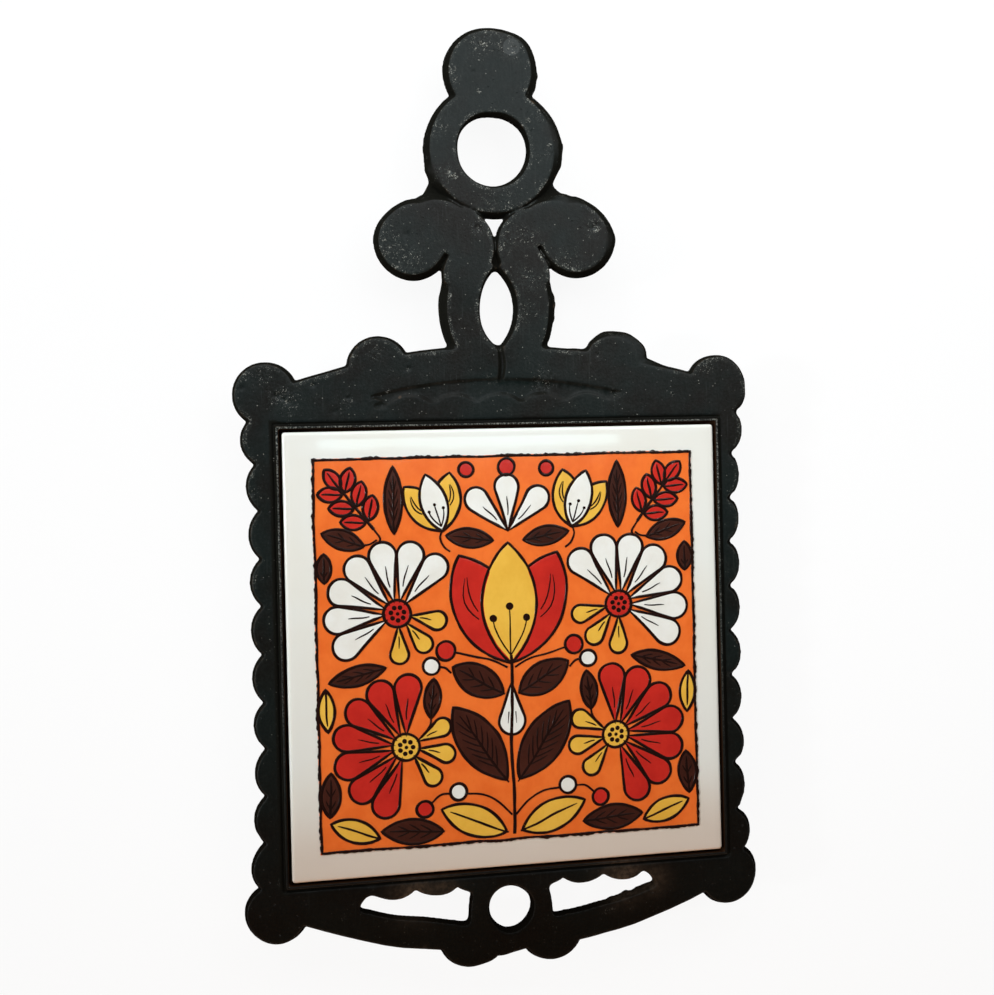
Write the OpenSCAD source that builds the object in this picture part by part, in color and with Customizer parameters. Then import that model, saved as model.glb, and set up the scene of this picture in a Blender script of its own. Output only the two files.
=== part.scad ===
// Handled trivet: a glazed picture tile bedded in a sand-cast iron frame on four short legs.
// X runs across the tile, Y along the handle and Z up. The feet stand on Z = 0.
// Lengths are in millimetres. Places along Y are reckoned from the tile's centre, and the
// finished part is then moved along Y so that its outline is centred on the origin.

/* [Tile] */
// Side of the square tile
tile_w = 150; // [130:1:170]
// Thickness of the tile
tile_t = 5.5; // [4.5:0.5:8]
// Radius of the tile's corners and of its soft top edge
tile_ease = 1.1; // [0.5:0.1:1.6]
// Gap left between the tile and the iron rim
tile_gap = 0.9; // [0.5:0.1:1.5]
// How far the tile stands above the rim bead
tile_proud = 0.3; // [0:0.1:1]
// How far the tile and its rim sit to the right of the casting's axis
tile_shift = 1; // [0:0.1:2]
// Thickness of the adhesive bed under the tile
glue_t = 0.5; // [0.3:0.1:1]
// Width of the adhesive bed
glue_w = 4; // [2:0.5:5]

/* [Rim and border] */
// Height of the border's top face above the surface that the feet stand on
face_z = 19; // [16:0.5:26]
// Thickness of the border and of the handle
plate_t = 5; // [4:0.5:7]
// Share of that thickness that was cast in the lower half of the mould
drag_share = 0.4; // [0.3:0.05:0.5]
// Sideways slip between the two halves of the mould
mould_slip = 0.7; // [0:0.1:1]
// Draft of the lower edge, from the parting line to the underside
drag_draft = 0.3; // [0.1:0.1:0.5]
// Width of the raised bead around the tile
bead_w = 1.4; // [1:0.1:2]
// Height of the bead above the border
bead_h = 1; // [0.6:0.1:1.5]
// Width of the step that is sunk around the bead
step_w = 0.9; // [0.5:0.1:1.5]
// Depth of that step
step_d = 0.7; // [0.3:0.1:1.2]
// Width of the ledge that carries the tile
ledge_w = 8; // [6:0.5:12]
// Thickness of the ledge
ledge_t = 2.5; // [2:0.25:4]
// Thickness of the wall that hangs under the border and holds the ledge
tray_wall = 2.6; // [2:0.1:4]

/* [Scalloped edge] */
// Scallops along each side
scallops = 10; // [6:1:14]
// Radius of a scallop
scallop_r = 10.6; // [9.5:0.1:12]
// Width of the side border from the tile pocket to the crest of a middle scallop
side_border = 9.5; // [8.5:0.1:12]
// How much further out the scallops next to the corners stand
side_flare = 2; // [0:0.1:3]
// Radius of the round corner lobes
corner_r = 10.8; // [9:0.1:13]
// Corner lobe centres, outside the tile pocket across the part
corner_out = 3; // [2:0.1:5]
// Upper corner lobe centres, beyond the tile pocket
corner_up = 12.1; // [10:0.1:14]
// Lower corner lobe centres, beyond the tile pocket
corner_down = 8.7; // [7:0.1:11]
// Draft of the border's edge from the parting line to its face
edge_draft = 0.9; // [0.4:0.1:1.4]

/* [Top rail] */
// Height of the rail's crest above the tile pocket
rail_h = 28; // [24:0.5:34]
// Radius of the rail's arched edge
rail_arc_r = 215; // [190:5:260]
// Radius of the two round lobes on the rail
rail_lobe_r = 10.7; // [8:0.1:12]
// Distance of these lobes from the axis
rail_lobe_x = 41; // [36:0.5:46]
// Height of these lobes' centres above the tile pocket
rail_lobe_y = 20.7; // [17:0.1:23]
// Height of the sunk arch's crest above the tile pocket
arch_h = 16; // [14:0.5:18]
// Radius of the sunk arch
arch_r = 189; // [160:5:230]
// Half the length of the sunk arch
arch_half = 45; // [36:1:50]
// Depth of the sunk arch
arch_d = 0.6; // [0.3:0.1:1]
// Spacing of the scallops in the sunk arch
arch_pitch = 15.4; // [12:0.1:18]
// Height of their crests above the tile pocket
arch_crest = 11; // [9:0.1:12]
// Height of the cusps between them above the tile pocket
arch_cusp = 8.5; // [6:0.1:9]

/* [Bottom rail] */
// Depth of the rail's lowest edge below the tile pocket
foot_rail_h = 28.9; // [26:0.1:33]
// Radius of the rail's bowed edge
foot_arc_r = 178; // [160:1:200]
// Width of the band below the slots, at the axis
band_w = 9.6; // [8:0.1:12]
// Radius of the slots' lower edge
slot_arc_r = 152.5; // [140:0.5:165]
// Inner end of each slot at its crest, from the axis
slot_in = 13.4; // [12:0.1:16]
// How much further from the axis this end is at the slot's lower edge
slot_lean = 1.8; // [0:0.1:3]
// Outer end of each slot, from the axis
slot_out = 51.6; // [46:0.1:54]
// How much nearer to the axis this end is at the slot's crest
slot_taper = 3; // [0:0.1:5]
// Radius of the scallops over the slots
slot_scallop_r = 11.4; // [10:0.1:13]
// Spacing of these scallops
slot_pitch = 14.5; // [12:0.1:16]
// Centre of the first of these scallops, from the axis
slot_first = 11.2; // [10:0.1:13]
// Depth of the scallops' crests below the tile pocket
slot_crest = 7.6; // [7:0.1:9]
// Height of the cusps above these crests
slot_cusp = 2.7; // [2:0.1:3.5]
// Radius of the two round lobes under the rail
foot_lobe_r = 11; // [9:0.1:13]
// Distance of these lobes from the axis
foot_lobe_x = 14.2; // [12:0.1:17]
// Depth of these lobes' centres below the tile pocket
foot_lobe_y = 22.7; // [20:0.1:25]
// Radius of the lower round hole
low_hole_r = 7.6; // [5:0.1:8.5]
// Depth of the lower hole's centre below the tile pocket
low_hole_y = 14.1; // [13:0.1:15.5]

/* [Handle] */
// Draft of the handle's edges from the parting line to its face
handle_draft = 1.9; // [1:0.1:2.4]
// Radius of the lens-shaped gap's two arcs
lens_r = 18; // [16:0.5:22]
// Half the width of the lens-shaped gap
lens_half = 6.3; // [5:0.1:7.5]
// Height of the gap's middle above the rail's crest
lens_lift = 12.8; // [11:0.1:14]
// Width of each stem
stem_w = 13.6; // [11:0.1:16]
// Radius of the scroll heads that touch on the axis
scroll_r = 14; // [12:0.1:16]
// Height of the scroll heads above the middle of the gap
scroll_lift = 21; // [19:0.1:22]
// Radius of the shoulder that joins each scroll head to its lobe
shoulder_r = 16; // [14.5:0.1:17]
// Distance of the shoulders from the axis
shoulder_x = 20.5; // [18:0.1:22]
// Radius of the round lobe at the end of each scroll
curl_r = 13.7; // [12:0.1:15]
// Distance of these lobes from the axis
curl_x = 28.3; // [26:0.1:31]
// Height of these lobes above the scroll heads
curl_lift = 2.7; // [1:0.1:4]
// Outer radius of the hanging ring
ring_r = 23.6; // [21:0.1:26]
// Radius of the hole in the hanging ring
ring_hole_r = 12.4; // [8:0.1:14]
// Height of the ring's lower edge above the scroll heads' centres
ring_seat = 9.3; // [8:0.1:10.5]
// Radius of the knob at the tip
knob_r = 16.2; // [13:0.1:18]
// How deep the knob sinks into the ring
knob_sink = 13.4; // [10:0.1:14]
// How much wider a hole is at the face than at its bore
hole_flare = 0.7; // [0.3:0.1:1]
// Height of that flare
flare_h = 1.6; // [1:0.1:2.5]
// Width of the groove between the feet of the two stems
vee_w = 2.6; // [1.5:0.1:4]

/* [Legs and feet] */
// Distance of each leg's centre in from the tile pocket's corner
leg_in = 4.5; // [3:0.1:6]
// Radius of a leg where it meets the casting
leg_r = 7; // [6:0.1:8]
// Radius of a leg at its shoulder
shoulder_leg_r = 5.8; // [5.2:0.1:6.4]
// Radius of the spigot that holds the rubber tip
spigot_r = 4.4; // [3:0.1:5]
// Radius of a rubber tip
tip_r = 6.2; // [5.5:0.1:7]
// Height of a rubber tip
tip_h = 7; // [5:0.5:9]
// Thickness of a rubber tip's floor
tip_floor = 2.2; // [1.5:0.1:3]
// Clearance between the spigot and its tip
tip_fit = 0.1; // [0.05:0.05:0.3]
// Clearance between a leg's shoulder and its tip
tip_seat = 0.2; // [0.1:0.05:0.5]
// Rounding of a rubber tip's lower edge
tip_ease = 0.8; // [0.3:0.1:1.2]

/* [Fired print] */
// Side of the square printed panel
print_w = 133; // [100:1:140]
// How far the panel sits to the right of the tile's centre
print_shift = 0.5; // [0:0.1:2]
// Thickness of each fired colour
ink_t = 0.12; // [0.08:0.02:0.2]
// Width of the dark lines
line_w = 0.9; // [0.5:0.1:1.4]
// Width of the dark line around the panel
edge_w = 1.1; // [0.5:0.1:1.6]

/* [Hidden] */

$fn = 96;
// Steps in a full turn of the large arcs
arc_steps = 720;
// Overrun of every cut
over = 1;

pocket = tile_w / 2 + tile_gap;
bead_top = face_z + bead_h;
tile_top = bead_top + tile_proud;
tile_bottom = tile_top - tile_t;
ledge_top = tile_bottom - glue_t;
tray_z = ledge_top - ledge_t;
base_z = face_z - plate_t;
drag_t = plate_t * drag_share;
part_z = base_z + drag_t;
cope_t = face_z - part_z;
tray_half = pocket + tray_wall;
window = pocket - ledge_w;

corner_x = pocket + corner_out;
top_corner_y = pocket + corner_up;
low_corner_y = -pocket - corner_down;
scallop_pitch = (top_corner_y - low_corner_y) / (scallops + 1);
scallop_x = pocket + side_border - scallop_r;
valley_x = scallop_x + sqrt(pow(scallop_r - edge_draft, 2) - pow(scallop_pitch / 2, 2));

rail_y = pocket + rail_h;
foot_rail_y = -pocket - foot_rail_h;
slot_arc_y = foot_rail_y + band_w + slot_arc_r;
slot_scallop_y = -pocket - slot_crest + slot_scallop_r;
slot_low_y = foot_rail_y + band_w;

lens_y = rail_y + lens_lift;
lens_x = lens_r - lens_half;
scroll_y = lens_y + scroll_lift;
curl_y = scroll_y + curl_lift;
ring_y = scroll_y + ring_seat + ring_r;
knob_y = ring_y + ring_r + knob_r - knob_sink;
top_y = knob_y + knob_r;
bottom_y = -pocket - foot_lobe_y - foot_lobe_r;
centre_y = (top_y + bottom_y) / 2;
// Angle that a stem sweeps to each side of its middle
stem_angle = acos(lens_x / lens_r);
// Scallops over each slot, and on each side of the sunk arch's middle one
slot_scallops = 4;
arch_scallops = 3;
// The slit between a stem and its lobe: its tip and its mouth, across the part
slit_mouth_share = 0.71;
slit_x = scroll_r + mould_slip / 2;
slit_mouth_x = curl_x - curl_r * slit_mouth_share;
// How far the web between the scrolls reaches into the gap's tip, as a share of its width, and
// how far it stands above the parting line, as a share of the thickness above that line
web_lap_share = 0.25;
web_rise_share = 0.27;
// Metal that fills the left slit's tip: its radius, as a share of a scroll head's
tip_fill_share = 0.19;
// Corners of the web under the neck, as shares of the ring's and the scroll head's radii
neck_ring_share = 0.75;
neck_top_share = 0.32;
neck_foot_share = 0.5;
neck_lift_share = 0.7;
// Hollow of that web's outer edge: its centre from the axis and below the ring's, and its radius
neck_hollow_x = ring_r * 1.144;
neck_hollow_y = ring_y - ring_r * 0.449;
neck_hollow_r = ring_r * 0.271;

leg_half = pocket - leg_in;

print_half = print_w / 2;

// The print's motifs: places, lengths and widths are shares of half the panel's side, and turns
// are degrees against the clock from straight up. Those beside the axis are mirrored.
// Stalk on the axis: height of its foot, and its length
stalk_foot_share = -0.96;
stalk_share = 0.92;
// Crown of petals on the axis: place, length and radius of a petal, ink
crown_shares = [[0, 0.60], [0.20, 0.055], "white"];
// Drop that hangs on the axis: place, length and radius, ink
drop_shares = [[0, -0.20], [0.18, 0.06], "white"];
// Tulips: place, turn, length and width, inks of the heart and of the wings
middle_tulip_shares = [[0, -0.07], 0, [0.60, 0.27], "yellow", "red"];
side_tulip_shares = [[0.34, 0.62], -16, [0.28, 0.12], "white", "yellow"];
// Carnations: place, turn, size, inks of the petals and of the heart
carnation_shares = [
    [[0.58, 0.20], -40, 0.36, "white", "red"],
    [[0.55, -0.48], -78, 0.36, "red", "yellow"]
];
// Sprig: place, turn, length and width of a leaf, ink
sprig_shares = [[0.69, 0.63], -38, [0.11, 0.06], "red"];
// Leaves: place of the foot, turn, length and width, ink
leaf_shares = [
    [[0.04, -0.67], -35, [0.45, 0.19], "brown"],
    [[0.05, -0.94], -68, [0.34, 0.14], "yellow"],
    [[0.05, -0.23], -60, [0.28, 0.14], "brown"],
    [[0.09, 0.555], -82, [0.22, 0.08], "brown"],
    [[0.585, 0.62], 0, [0.31, 0.075], "brown"],
    [[0.75, 0.55], -72, [0.20, 0.08], "brown"],
    [[0.655, -0.075], -103, [0.27, 0.08], "brown"],
    [[0.95, -0.18], 177, [0.19, 0.065], "yellow"],
    [[0.94, -0.80], 3, [0.20, 0.08], "brown"],
    [[0.38, -0.92], -86, [0.29, 0.11], "brown"],
    [[0.70, -0.93], -70, [0.24, 0.10], "yellow"],
    [[0.945, 0.375], 0, [0.13, 0.06], "brown"],
    [[0.42, -0.33], 6, [0.18, 0.07], "brown"]
];
// Berries: place, radius, ink
berry_shares = [
    [[0.335, 0.00], 0.04, "red"],
    [[0.41, -0.075], 0.035, "white"],
    [[0.21, 0.92], 0.03, "red"],
    [[0.285, -0.725], 0.035, "white"],
    [[0.46, -0.80], 0.035, "red"]
];
// Berry on the axis, above the crown
top_berry_shares = [[0, 0.93], 0.035, "red"];

// Width of a drop's straight sides, as a share of what would just touch its round end
drop_side_share = 0.97;
// Turn of a tulip's wings, and their width as a share of its heart's
wing_turn = 25;
wing_share = 1.1;
// Petals of a carnation and of the crown, and the turn from one to the next
petals = 7;
petal_turn = 27;
crown_petals = 3;
crown_turn = 44;
crown_gap_share = 0.03;
// Drops behind a carnation, and the turn from one to the next
back_drops = 3;
back_turn = 38;
// Shares of a carnation's size: a petal's distance from the middle, length and radius, which is
// the heart's too, and the length and radius of a drop behind it
petal_gap_share = 0.24;
petal_share = 0.6;
petal_r_share = 0.17;
back_share = 0.34;
back_r_share = 0.11;
// Pairs of leaves on a sprig, their turn, their spacing and their distance from the stalk
sprig_pairs = 3;
sprig_turn = 50;
sprig_step_share = 0.09;
sprig_gap_share = 0.02;

iron = [0.22, 0.23, 0.22];
glaze = [0.93, 0.92, 0.88];
silicone = [0.80, 0.79, 0.74];
rubber = [0.10, 0.10, 0.10];
orange = [0.93, 0.45, 0.18];
red = [0.80, 0.17, 0.13];
yellow = [0.93, 0.74, 0.26];
white = [0.97, 0.96, 0.93];
brown = [0.27, 0.13, 0.09];
outline = [0.15, 0.06, 0.04];

module placed() {
    translate([0, -centre_y, 0])
        children();
}

module on_tile() {
    translate([tile_shift, 0, 0])
        children();
}

module both_sides() {
    children();
    mirror([1, 0, 0])
        children();
}

module four_corners(half) {
    for (x = [-half, half], y = [-half, half])
        translate([x, y, 0])
            children();
}

// A round boss of the casting: the mould's two halves meet at its widest line
module boss(x, y, r, draft) {
    translate([x - mould_slip / 2, y, part_z])
        cylinder(h = cope_t, r1 = r, r2 = r - draft);
    translate([x + mould_slip / 2, y, base_z])
        cylinder(h = drag_t, r1 = r - drag_draft, r2 = r);
}

module pair_of_bosses(x, y, r, draft) {
    boss(x, y, r, draft);
    boss(-x, y, r, draft);
}

module square_ring(outer, inner, z, h) {
    translate([0, 0, z])
        linear_extrude(h)
            difference() {
                square(2 * outer, center = true);
                square(2 * inner, center = true);
            }
}

// The flat border under the bosses, from one rail to the other
module border_plate() {
    translate([-valley_x, low_corner_y, base_z])
        cube([2 * valley_x, top_corner_y - low_corner_y, plate_t]);
}

module scalloped_sides() {
    middle_y = (top_corner_y + low_corner_y) / 2;
    for (i = [1 : scallops]) {
        y = low_corner_y + i * scallop_pitch;
        flare = side_flare * pow(abs(y - middle_y) / (middle_y - low_corner_y - scallop_pitch), 4);
        pair_of_bosses(scallop_x + flare, y, scallop_r, edge_draft);
    }
    pair_of_bosses(corner_x, top_corner_y, corner_r, edge_draft);
    pair_of_bosses(corner_x, low_corner_y, corner_r, edge_draft);
}

module top_rail() {
    intersection() {
        boss(0, rail_y - rail_arc_r, rail_arc_r, edge_draft, $fn = arc_steps);
        translate([-corner_x, 0, base_z])
            cube([2 * corner_x, rail_y + over, plate_t]);
    }
    pair_of_bosses(rail_lobe_x, pocket + rail_lobe_y, rail_lobe_r, edge_draft);
}

module bottom_rail() {
    intersection() {
        boss(0, foot_rail_y + foot_arc_r, foot_arc_r, edge_draft, $fn = arc_steps);
        translate([-corner_x, foot_rail_y - over, base_z])
            cube([2 * corner_x, -foot_rail_y, plate_t]);
    }
    pair_of_bosses(foot_lobe_x, -pocket - foot_lobe_y, foot_lobe_r, edge_draft);
}

module slot_outline() {
    difference() {
        intersection() {
            translate([0, slot_arc_y])
                circle(slot_arc_r, $fn = arc_steps);
            polygon([
                [slot_in, -pocket - slot_crest + slot_cusp],
                [slot_in + slot_lean, slot_low_y],
                [slot_out, slot_low_y],
                [slot_out, -pocket - slot_crest - slot_taper / 2],
                [slot_out - slot_taper, -pocket - slot_crest + slot_cusp]
            ]);
        }
        for (i = [0 : slot_scallops - 1])
            translate([slot_first + i * slot_pitch, slot_scallop_y])
                circle(slot_scallop_r);
    }
}

module slots() {
    both_sides()
        translate([0, 0, base_z - over])
            linear_extrude(plate_t + 2 * over)
                slot_outline();
}

// The arch sunk into the top rail, an unpierced echo of the slots
module sunk_arch() {
    translate([0, 0, face_z - arch_d])
        linear_extrude(arch_d + over)
            difference() {
                intersection() {
                    translate([0, pocket + arch_h - arch_r])
                        circle(arch_r, $fn = arc_steps);
                    translate([-arch_half, pocket + arch_cusp])
                        square([2 * arch_half, arch_h]);
                }
                for (i = [-arch_scallops : arch_scallops])
                    translate([i * arch_pitch, pocket + arch_crest - slot_scallop_r])
                        circle(slot_scallop_r);
            }
}

// One stem: a curved bar with sloping sides, centred on the far side of the gap
module stem() {
    outer = lens_r + stem_w;
    difference() {
        intersection() {
            boss(-lens_x, lens_y, outer, handle_draft);
            translate([-lens_x, lens_y, base_z - over])
                linear_extrude(plate_t + 2 * over)
                    polygon([
                        [0, 0],
                        [2 * outer * cos(stem_angle), -2 * outer * sin(stem_angle)],
                        [2 * outer * cos(stem_angle), 2 * outer * sin(stem_angle)]
                    ]);
        }
        translate([-lens_x, lens_y, base_z - over])
            cylinder(h = plate_t + 2 * over, r = lens_r);
        translate([-lens_x, lens_y, part_z])
            cylinder(h = cope_t, r1 = lens_r, r2 = lens_r + edge_draft);
    }
}

// The scroll head without the slit that parts it from the lobe
module scroll_head() {
    difference() {
        union() {
            boss(scroll_r, scroll_y, scroll_r, edge_draft);
            boss(shoulder_x, scroll_y + curl_lift / 2, shoulder_r, handle_draft);
        }
        translate([0, 0, base_z - over])
            linear_extrude(plate_t + 2 * over)
                polygon([
                    [slit_x, scroll_y],
                    [slit_mouth_x, scroll_y - curl_r / 2],
                    [slit_mouth_x, scroll_y - 2 * curl_r],
                    [curl_x + shoulder_r, scroll_y - 2 * curl_r],
                    [curl_x + shoulder_r, scroll_y]
                ]);
    }
}

// Low web that closes the outline between the ring and a scroll
module neck_web() {
    translate([0, 0, base_z])
        linear_extrude(drag_t)
            difference() {
                polygon([
                    [curl_x, ring_y - ring_r * neck_top_share],
                    [ring_r * neck_ring_share, ring_y - ring_r * neck_top_share],
                    [scroll_r * neck_foot_share, scroll_y + scroll_r * neck_lift_share],
                    [curl_x, curl_y]
                ]);
                translate([neck_hollow_x, neck_hollow_y])
                    circle(neck_hollow_r);
            }
}

// Thin web where the two scrolls touch on the axis, from just inside the gap's upper tip
module touch_web() {
    from_y = lens_y + sqrt(pow(lens_r, 2) - pow(lens_x, 2)) - vee_w * web_lap_share;
    translate([-vee_w / 2, from_y, base_z])
        cube([vee_w, scroll_y + curl_lift - from_y, drag_t + cope_t * web_rise_share]);
}

module handle_scrolls() {
    both_sides() {
        stem();
        scroll_head();
        neck_web();
    }
    touch_web();
    tip_fill_r = scroll_r * tip_fill_share;
    boss(-slit_x - tip_fill_r / 2, scroll_y - tip_fill_r / 2, tip_fill_r, edge_draft);
    pair_of_bosses(curl_x, curl_y, curl_r, handle_draft);
    boss(0, ring_y, ring_r, handle_draft);
    boss(0, knob_y, knob_r, handle_draft);
}

module flared_hole(y, r) {
    translate([0, y, base_z - over])
        cylinder(h = plate_t + 2 * over, r = r);
    translate([0, y, face_z - flare_h])
        cylinder(h = flare_h, r1 = r, r2 = r + hole_flare);
}

// Groove between the feet of the two stems, under the gap
module vee_groove(from_y, to_y) {
    side = vee_w / sqrt(2);
    translate([0, from_y, face_z])
        rotate([0, 45, 0])
            translate([-side / 2, 0, -side / 2])
                cube([side, to_y - from_y, side]);
}

module rim_bead() {
    r = bead_w / 2;
    axis = pocket + r;
    square_ring(pocket + bead_w, pocket, base_z, bead_top - r - base_z);
    translate([0, 0, bead_top - r])
        for (turn = [0 : 3])
            rotate([0, 0, 90 * turn])
                translate([-axis, axis, 0]) {
                    sphere(r);
                    rotate([0, 90, 0])
                        cylinder(h = 2 * axis, r = r);
                }
}

module legs() {
    four_corners(leg_half) {
        translate([0, 0, tip_h + tip_seat])
            cylinder(h = tray_z - tip_h - tip_seat, r1 = shoulder_leg_r, r2 = leg_r);
        translate([0, 0, tip_floor])
            cylinder(h = tray_z - tip_floor, r = spigot_r);
    }
}

module frame_casting() {
    color(iron)
        placed() {
            difference() {
                union() {
                    border_plate();
                    scalloped_sides();
                    top_rail();
                    bottom_rail();
                    handle_scrolls();
                }
                on_tile() {
                    translate([0, 0, base_z - over])
                        linear_extrude(plate_t + 2 * over)
                            square(2 * pocket, center = true);
                    square_ring(pocket + bead_w + step_w, pocket, face_z - step_d, step_d + over);
                }
                sunk_arch();
                slots();
                flared_hole(ring_y, ring_hole_r);
                flared_hole(-pocket - low_hole_y, low_hole_r);
                vee_groove(pocket + arch_h - over, lens_y);
            }
            on_tile() {
                rim_bead();
                square_ring(tray_half, pocket, tray_z, base_z - tray_z + step_d);
                square_ring(tray_half, window, tray_z, ledge_t);
                legs();
            }
        }
}

module tile() {
    half = tile_w / 2;
    core = half - tile_ease;
    color(glaze)
        placed()
            on_tile() {
                translate([-core, -core, tile_bottom])
                    cube([2 * core, 2 * core, tile_t]);
                translate([-half, -core, tile_bottom])
                    cube([2 * half, 2 * core, tile_t - tile_ease]);
                translate([-core, -half, tile_bottom])
                    cube([2 * core, 2 * half, tile_t - tile_ease]);
                four_corners(core) {
                    translate([0, 0, tile_bottom])
                        cylinder(h = tile_t - tile_ease, r = tile_ease);
                    translate([0, 0, tile_top - tile_ease])
                        sphere(tile_ease);
                }
                translate([0, 0, tile_top - tile_ease])
                    for (turn = [0 : 3])
                        rotate([0, 0, 90 * turn])
                            translate([-core, core, 0])
                                rotate([0, 90, 0])
                                    cylinder(h = 2 * core, r = tile_ease);
            }
}

module tile_adhesive() {
    middle = pocket - ledge_w / 2;
    color(silicone)
        placed()
            on_tile()
                square_ring(middle + glue_w / 2, middle - glue_w / 2, ledge_top, glue_t);
}

// A rubber tip pushed over the spigot of one leg
module foot_tip(side_x, side_y) {
    color(rubber)
        placed()
            on_tile()
                translate([side_x * leg_half, side_y * leg_half, 0])
                    difference() {
                        union() {
                            cylinder(h = tip_ease, r1 = tip_r - tip_ease, r2 = tip_r);
                            translate([0, 0, tip_ease])
                                cylinder(h = tip_h - tip_ease, r = tip_r);
                        }
                        translate([0, 0, tip_floor])
                            cylinder(h = tip_h, r = spigot_r + tip_fit);
                    }
}

// The print is drawn once, in three levels: an orange ground on the glaze, a dark key that holds
// every shape grown by the width of a line, and on it the colours, which leave the lines bare.
module shown(ink) {
    if ($ink == ink || $ink == "line")
        children();
}

module put(place_shares, turn = 0) {
    translate(place_shares * print_half)
        rotate(turn)
            children();
}

// First child with the second one, and a line around it, left out
module behind() {
    difference() {
        children(0);
        if ($ink != "line")
            let($grow = line_w)
                children(1);
    }
}

// Pointed leaf or petal, from its foot at the origin along Y
module leaf(size_shares) {
    l = size_shares[0] * print_half;
    w = size_shares[1] * print_half;
    r = (pow(l, 2) + pow(w, 2)) / (4 * w);
    intersection_for (side = [-1, 1])
        translate([side * (r - w / 2), l / 2])
            circle(r + $grow);
}

// Round-ended petal, from its point at the origin along Y
module drop(size_shares) {
    half_angle = asin(size_shares[1] / size_shares[0]);
    foot = $grow / sin(half_angle);
    reach = size_shares[0] * print_half + foot;
    side_x = reach * cos(half_angle) * sin(half_angle) * drop_side_share;
    side_y = reach * pow(cos(half_angle), 2);
    translate([0, -foot]) {
        translate([0, reach])
            circle(size_shares[1] * print_half + $grow);
        polygon([[0, 0], [side_x, side_y], [-side_x, side_y]]);
    }
}

module berry(r_share) {
    circle(r_share * print_half + $grow);
}

// Thin stalk along Y, drawn in the key alone
module stalk(l_share) {
    if ($ink == "line")
        translate([-line_w / 2, 0])
            square([line_w, l_share * print_half]);
}

// Drops side by side, each standing a little way out from the middle
module fan(count, turn, gap_share, size_shares) {
    for (i = [0 : count - 1])
        rotate((i - (count - 1) / 2) * turn)
            translate([0, gap_share * print_half])
                drop(size_shares);
}

module tulip(size_shares, heart, wings) {
    wing_shares = [size_shares[0], size_shares[1] * wing_share];
    shown(heart)
        leaf(size_shares);
    both_sides()
        shown(wings)
            behind() {
                rotate(-wing_turn)
                    leaf(wing_shares);
                leaf(size_shares);
            }
}

module carnation(size_share, ink, heart) {
    gap_share = petal_gap_share * size_share;
    shown(ink)
        fan(petals, petal_turn, gap_share, [petal_share, petal_r_share] * size_share);
    shown(heart)
        berry(petal_r_share * size_share);
    shown("yellow")
        rotate(180)
            fan(back_drops, back_turn, gap_share, [back_share, back_r_share] * size_share);
}

// Stalk with pairs of leaves and one more at its tip
module sprig(size_shares, ink) {
    step = sprig_step_share * print_half;
    stalk(sprig_pairs * sprig_step_share);
    for (i = [1 : sprig_pairs])
        translate([0, (i - 1 / 2) * step])
            both_sides()
                rotate(-sprig_turn)
                    translate([0, sprig_gap_share * print_half])
                        shown(ink)
                            leaf(size_shares);
    translate([0, sprig_pairs * step])
        shown(ink)
            leaf(size_shares);
}

module middle_of_print() {
    put([0, stalk_foot_share])
        stalk(stalk_share);
    put(middle_tulip_shares[0])
        tulip(middle_tulip_shares[2], middle_tulip_shares[3], middle_tulip_shares[4]);
    put(crown_shares[0])
        shown(crown_shares[2])
            fan(crown_petals, crown_turn, crown_gap_share, crown_shares[1]);
    put(drop_shares[0], 180)
        shown(drop_shares[2])
            drop(drop_shares[1]);
    put(top_berry_shares[0])
        shown(top_berry_shares[2])
            berry(top_berry_shares[1]);
}

module half_of_print() {
    for (row = carnation_shares)
        put(row[0], row[1])
            carnation(row[2], row[3], row[4]);
    put(side_tulip_shares[0], side_tulip_shares[1])
        tulip(side_tulip_shares[2], side_tulip_shares[3], side_tulip_shares[4]);
    put(sprig_shares[0], sprig_shares[1])
        sprig(sprig_shares[2], sprig_shares[3]);
    for (row = leaf_shares)
        put(row[0], row[1])
            shown(row[3])
                leaf(row[2]);
    for (row = berry_shares)
        put(row[0])
            shown(row[2])
                berry(row[1]);
}

module artwork() {
    middle_of_print();
    both_sides()
        half_of_print();
}

module fired(level) {
    placed()
        translate([tile_shift + print_shift, 0, tile_top + level * ink_t])
            linear_extrude(ink_t)
                children();
}

module print_ground() {
    color(orange)
        fired(0)
            square(print_w, center = true);
}

module print_colour(ink) {
    fired(2)
        let($ink = ink, $grow = 0)
            artwork();
}

module print_line() {
    color(outline)
        fired(1) {
            let($ink = "line", $grow = line_w)
                artwork();
            difference() {
                square(print_w, center = true);
                square(print_w - 2 * edge_w, center = true);
            }
        }
}

module print_red() {
    color(red)
        print_colour("red");
}

module print_yellow() {
    color(yellow)
        print_colour("yellow");
}

module print_white() {
    color(white)
        print_colour("white");
}

module print_brown() {
    color(brown)
        print_colour("brown");
}

frame_casting();
tile();
tile_adhesive();
foot_tip(-1, -1);  // foot_tip_front_left
foot_tip(1, -1);  // foot_tip_front_right
foot_tip(-1, 1);  // foot_tip_back_left
foot_tip(1, 1);  // foot_tip_back_right
print_ground();
print_line();
print_red();
print_yellow();
print_white();
print_brown();
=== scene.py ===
import math

import bmesh
import bpy
import numpy as np
from mathutils import Matrix, Vector, noise
from mathutils.kdtree import KDTree


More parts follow.
